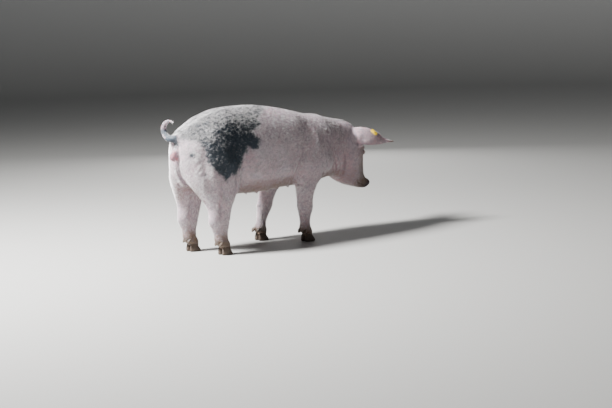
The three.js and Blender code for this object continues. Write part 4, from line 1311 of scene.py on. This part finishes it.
# Where bristles grow: thickest on the head, thin inside the ears, and none on disc, lids and vent.
w = weights_of(hide_places, hide_normals)
density = 1.0 + 0.3 * w["leg"] + 0.5 * w["head"] + 0.5 * w["ear"] - 0.35 * w["belly"]
density = density + w["tail"] + 0.6 * w["crest"]
density *= 1 - 0.7 * w["ear"] * ramp(-hide_normals[:, 2], 0.0, 0.3)
density *= 1 - bare
for node in EYES:
    density *= ramp(np.linalg.norm(hide_places - centre_of(node), axis=1), 0.013, 0.022)
density *= 1 - ramp(skin_masks["flush"], 0.25, 0.45) * ramp(-hide_places[:, 0], 0.70, 0.72)
density *= ramp(hide_places[:, 2], 0.040, 0.050)
density *= 1 - 0.1 * w["tail"]
# Partly a real roan, partly painted light: bristles grow thicker over the top of the patch, so more white
# covers it where the key light falls.
density *= 1 + 2.0 * ramp(skin_masks["pigment"], -0.01, 0.02) * ramp(hide_normals[:, 2], 0.2, 0.7)
density += 1.5 * ear_rim
# Wet and rubbed, the coat draws into clumps 10 to 20 mm wide, so some places are left thin.
sown = scatter(int(1.6 * TUFTS), np.clip(density, 0, None))
drawn = 1.0 - 0.8 * ramp(masks_at(sown[0], sown[1])["pigment"], -0.02, 0.01)
clumped = drawn * waves(sown[0], 0.020, 0.7, 24) + chance.normal(0, 0.6, len(sown[0]))
kept = np.sort(np.argpartition(-clumped, TUFTS)[:TUFTS])
roots, normals, unwrapped = (part[kept] for part in sown[:3])
creased, rimmed = sown[3][:, kept]
w = weights_of(roots, normals)
length = 0.017 + 0.003 * ramp(normals[:, 2], 0.2, 0.9)
length += w["belly"] * (0.012 - length)
length += w["leg"] * (0.0095 - 0.003 * ramp(-roots[:, 2], -0.14, -0.08) - length)
length += w["head"] * (0.0085 - 0.004 * ramp(roots[:, 0], 0.52, 0.62) - length)
length += w["ear"] * (0.008 - length)
length += w["tail"] * (0.0065 - length)
length += rimmed * 0.004
length += w["crest"] * (0.026 - length)
near_eye = np.min([np.linalg.norm(roots - centre_of(node), axis=1) for node in EYES], axis=0)
length *= 0.55 + 0.45 * ramp(near_eye, 0.02, 0.05)
length *= chance.uniform(0.75, 1.2, TUFTS)
radius = 0.00018 + 0.0085 * length
lift = 9 + 7 * w["crest"] + 3 * w["leg"] + 18 * rimmed - 3 * w["tail"]
tuft_way = turned(lie_of(roots, normals), normals, 11)

every = np.repeat(np.arange(TUFTS), TUFT)
fan = chance.normal(0, SPREAD / 2, (len(every), 3))
normal, way = normals[every], tuft_way[every]
fan -= normal * (fan * normal).sum(axis=1)[:, None]
tilt = np.radians(np.clip(lift[every] + chance.normal(0, 3.5, len(every)), 3, 40))[:, None]
reach = length[every] * chance.uniform(0.8, 1.1, len(every))
way = turned(way, normal, 7)
aim = way * np.cos(tilt) + normal * np.sin(tilt) - 0.2 * fan / reach[:, None]
aim /= np.linalg.norm(aim, axis=1)[:, None]
start = roots[every] + fan - 0.0009 * normal
# Partly a real roan, partly painted light: white bristles grow more often where the surface faces up and
# back, towards the key light, so the patch is pale along the top and dark lower down.
facing_up = normals[:, 2] + 0.35 * ramp(-normals[:, 0], 0.1, 0.6)
white_roan_and_painted_light = 0.64 * ramp(facing_up, 0.25, 0.70) + 0.1 * w["tail"] - 0.47
luck_and_painted_light = np.clip(chance.random(TUFTS) + white_roan_and_painted_light, 0, 1)[every]
none_bend = np.zeros_like(start)

zones = {
    "ears": w["ear"] > 0.5,
    "tail": w["tail"] > 0.5,
    "head": roots[:, 0] > 0.40,
    "forelegs": (roots[:, 2] < 0.36) & (roots[:, 0] > -0.15),
    "hindlegs": (roots[:, 2] < 0.36) & (roots[:, 0] < -0.35),
    "rump": roots[:, 0] < -0.48,
    "loin": roots[:, 0] < -0.22,
    "barrel": roots[:, 0] < 0.05,
    "shoulder": roots[:, 0] < 0.24,
    "neck": roots[:, 0] < 9,
}
taken = np.zeros(TUFTS, bool)
for zone, chosen in zones.items():
    chosen = chosen & ~taken
    taken |= chosen
    halves = {"_right": roots[:, 1] <= 0, "_left": roots[:, 1] >= 0}
    if zone == "tail":
        halves = {"": np.ones(TUFTS, bool)}
    for half, on_half in halves.items():
        some = (chosen & on_half)[every]
        plant(
            f"coat_{zone}{half}", straight, luck_and_painted_light[some], creased[every][some], start[some], normal[some],
            aim[some], reach[some], radius[every][some], none_bend[some], unwrapped[every][some],
        )


def grow(name, places, ways, lengths, radius, sag):
    """Single curved bristles at given places, their roots drawn onto the hide."""
    number = len(places)
    spots, faces, out = [], [], []
    for place in places:
        _, spot, facing, face = hide.closest_point_on_mesh(Vector(place))
        spots.append(spot)
        out.append(facing)
        faces.append(unwrap[hide.data.polygons[face].loop_start])
    spots, out = np.array(spots), np.array(out)
    ways = ways / np.linalg.norm(ways, axis=1)[:, None]
    plant(
        name, bent, chance.random(number), np.zeros(number), spots - 0.0006 * ways, out, ways, lengths,
        np.full(number, radius), np.tile(sag, (number, 1)), np.array(faces),
    )


# Lashes: pale, long and drooping from the upper lid, short on the lower one.
for node, (middle, ball, out, inner, top) in eye_axes.items():
    lash_places, lash_ways, lash_lengths = [], [], []
    for share, tall, number, reach_of in ((1, LID["upper"], 46, 0.012), (-1, LID["lower"], 22, 0.006)):
        for u in np.linspace(-0.85, 0.85, number) + chance.normal(0, 0.02, number):
            v = share * (tall * (1 - u ** 2) + 0.0011)
            at_u = u * LID["half"]
            high = math.sqrt(max((ball + LID["thick"]) ** 2 - at_u ** 2 - v ** 2, 0))
            lash_places.append(middle + at_u * inner + v * top + high * out)
            lash_ways.append(
                0.9 * out + share * 0.30 * top + (0.45 * u - 0.1) * inner + chance.normal(0, 0.07, 3)
            )
            lash_lengths.append(reach_of * chance.uniform(0.8, 1.15))
    lashes = [np.array(values) for values in (lash_places, lash_ways, lash_lengths)]
    grow(f"lashes_{node}", *lashes, 0.00022, (0, 0, -0.25))

# Whiskers: stiff single bristles on lips and chin, behind the disc.
from_disc = np.linalg.norm(hide_places - disc_middle, axis=1)
beard = ramp(-from_disc, -0.14, -0.10) * ramp(from_disc, 0.045, 0.055) * (1 - bare)
sprouts, facing = scatter(120, beard)[:2]
whisker_ways = 0.7 * facing + 0.6 * turned(lie_of(sprouts, facing), facing, 20)
grow("whiskers", sprouts, whisker_ways, chance.uniform(0.009, 0.020, len(sprouts)), 0.00020, (0, 0, -0.2))

# ---------------------------------------------------------------- studio
# A pale round floor that curves up into its own backdrop, a soft key light high behind her and a little
# to her left, and a wide weak fill from her front left.

FLOOR, CURVE, CURVE_STEPS = 15.0, 5.0, 12  # radii of the flat floor and of the curve at its edge
sweep = bmesh.new()
profile = [sweep.verts.new((0, 0, 0))]
for i in range(CURVE_STEPS + 1):
    angle = math.radians(90 * i / CURVE_STEPS)
    profile.append(sweep.verts.new((FLOOR + CURVE * math.sin(angle), 0, CURVE - CURVE * math.cos(angle))))
edges = [sweep.edges.new(pair) for pair in zip(profile, profile[1:])]
bmesh.ops.spin(
    sweep, geom=profile + edges, cent=(0, 0, 0), axis=(0, 0, 1), angle=2 * math.pi, steps=96, use_merge=True
)
bmesh.ops.recalc_face_normals(sweep, faces=sweep.faces)
ground = bpy.data.meshes.new("floor")
sweep.to_mesh(ground)
sweep.free()
ground.shade_smooth()
# Matt painted board, pale grey, and paler where it rises so that the backdrop stays light.
board, tree, surface = new_material("matt_painted_board")
rise = add_node(tree, "TexCoord").outputs["Object"]
rise = add_node(tree, "SeparateXYZ", {0: rise}).outputs["Z"]
rise = add_node(tree, "MapRange", {0: rise, 1: 0.0, 2: 2.0})
shades = add_node(
    tree, "Mix", {0: rise.outputs[0], 6: linear("#a2a19e"), 7: linear("#ecebe8")}, data_type="RGBA"
)
tree.links.new(shades.outputs[2], surface.inputs["Base Color"])
surface.inputs["Roughness"].default_value = 0.9
ground.materials.append(board)
floor = bpy.data.objects.new("floor", ground)
scene.collection.objects.link(floor)


def area_light(name, direction, distance, size, power, aim=(0, 0, 0.4)):
    lamp = bpy.data.lights.new(name, "AREA")
    lamp.shape = "DISK"
    lamp.size = size
    lamp.energy = power
    holder = bpy.data.objects.new(name, lamp)
    scene.collection.objects.link(holder)
    way = Vector(direction).normalized()
    holder.matrix_world = (
        Matrix.Translation(Vector(aim) + way * distance)
        @ way.to_track_quat("Z", "Y").to_matrix().to_4x4()
    )


area_light("key", (-0.75, 0.20, 0.75), 4.5, 1.1, 1400)
area_light("fill", (0.8, 0.9, 0.35), 5.0, 3.0, 85)

world = bpy.data.worlds.new("studio")
scene.world = world
world.use_nodes = True
world.node_tree.nodes["Background"].inputs["Color"].default_value = (0.8, 0.85, 0.9, 1)
world.node_tree.nodes["Background"].inputs["Strength"].default_value = 0.10

# The camera stands low behind her right side and looks along her.
AZIMUTH, ELEVATION, DISTANCE, ROLL = -39.6, 7.9, 8.74, -1.7
TARGET = Vector((0.1913, 0, 0.20))
lens = bpy.data.cameras.new("camera")
lens.lens = 85.2
lens.sensor_width = 36
camera = bpy.data.objects.new("camera", lens)
scene.collection.objects.link(camera)
azimuth, elevation = math.radians(AZIMUTH), math.radians(ELEVATION)
back = Vector((
    math.sin(azimuth) * math.cos(elevation),
    -math.cos(azimuth) * math.cos(elevation),
    math.sin(elevation),
))
camera.matrix_world = (
    Matrix.Translation(TARGET + back * DISTANCE)
    @ back.to_track_quat("Z", "Y").to_matrix().to_4x4()
    @ Matrix.Rotation(math.radians(ROLL), 4, "Z")
)
scene.camera = camera
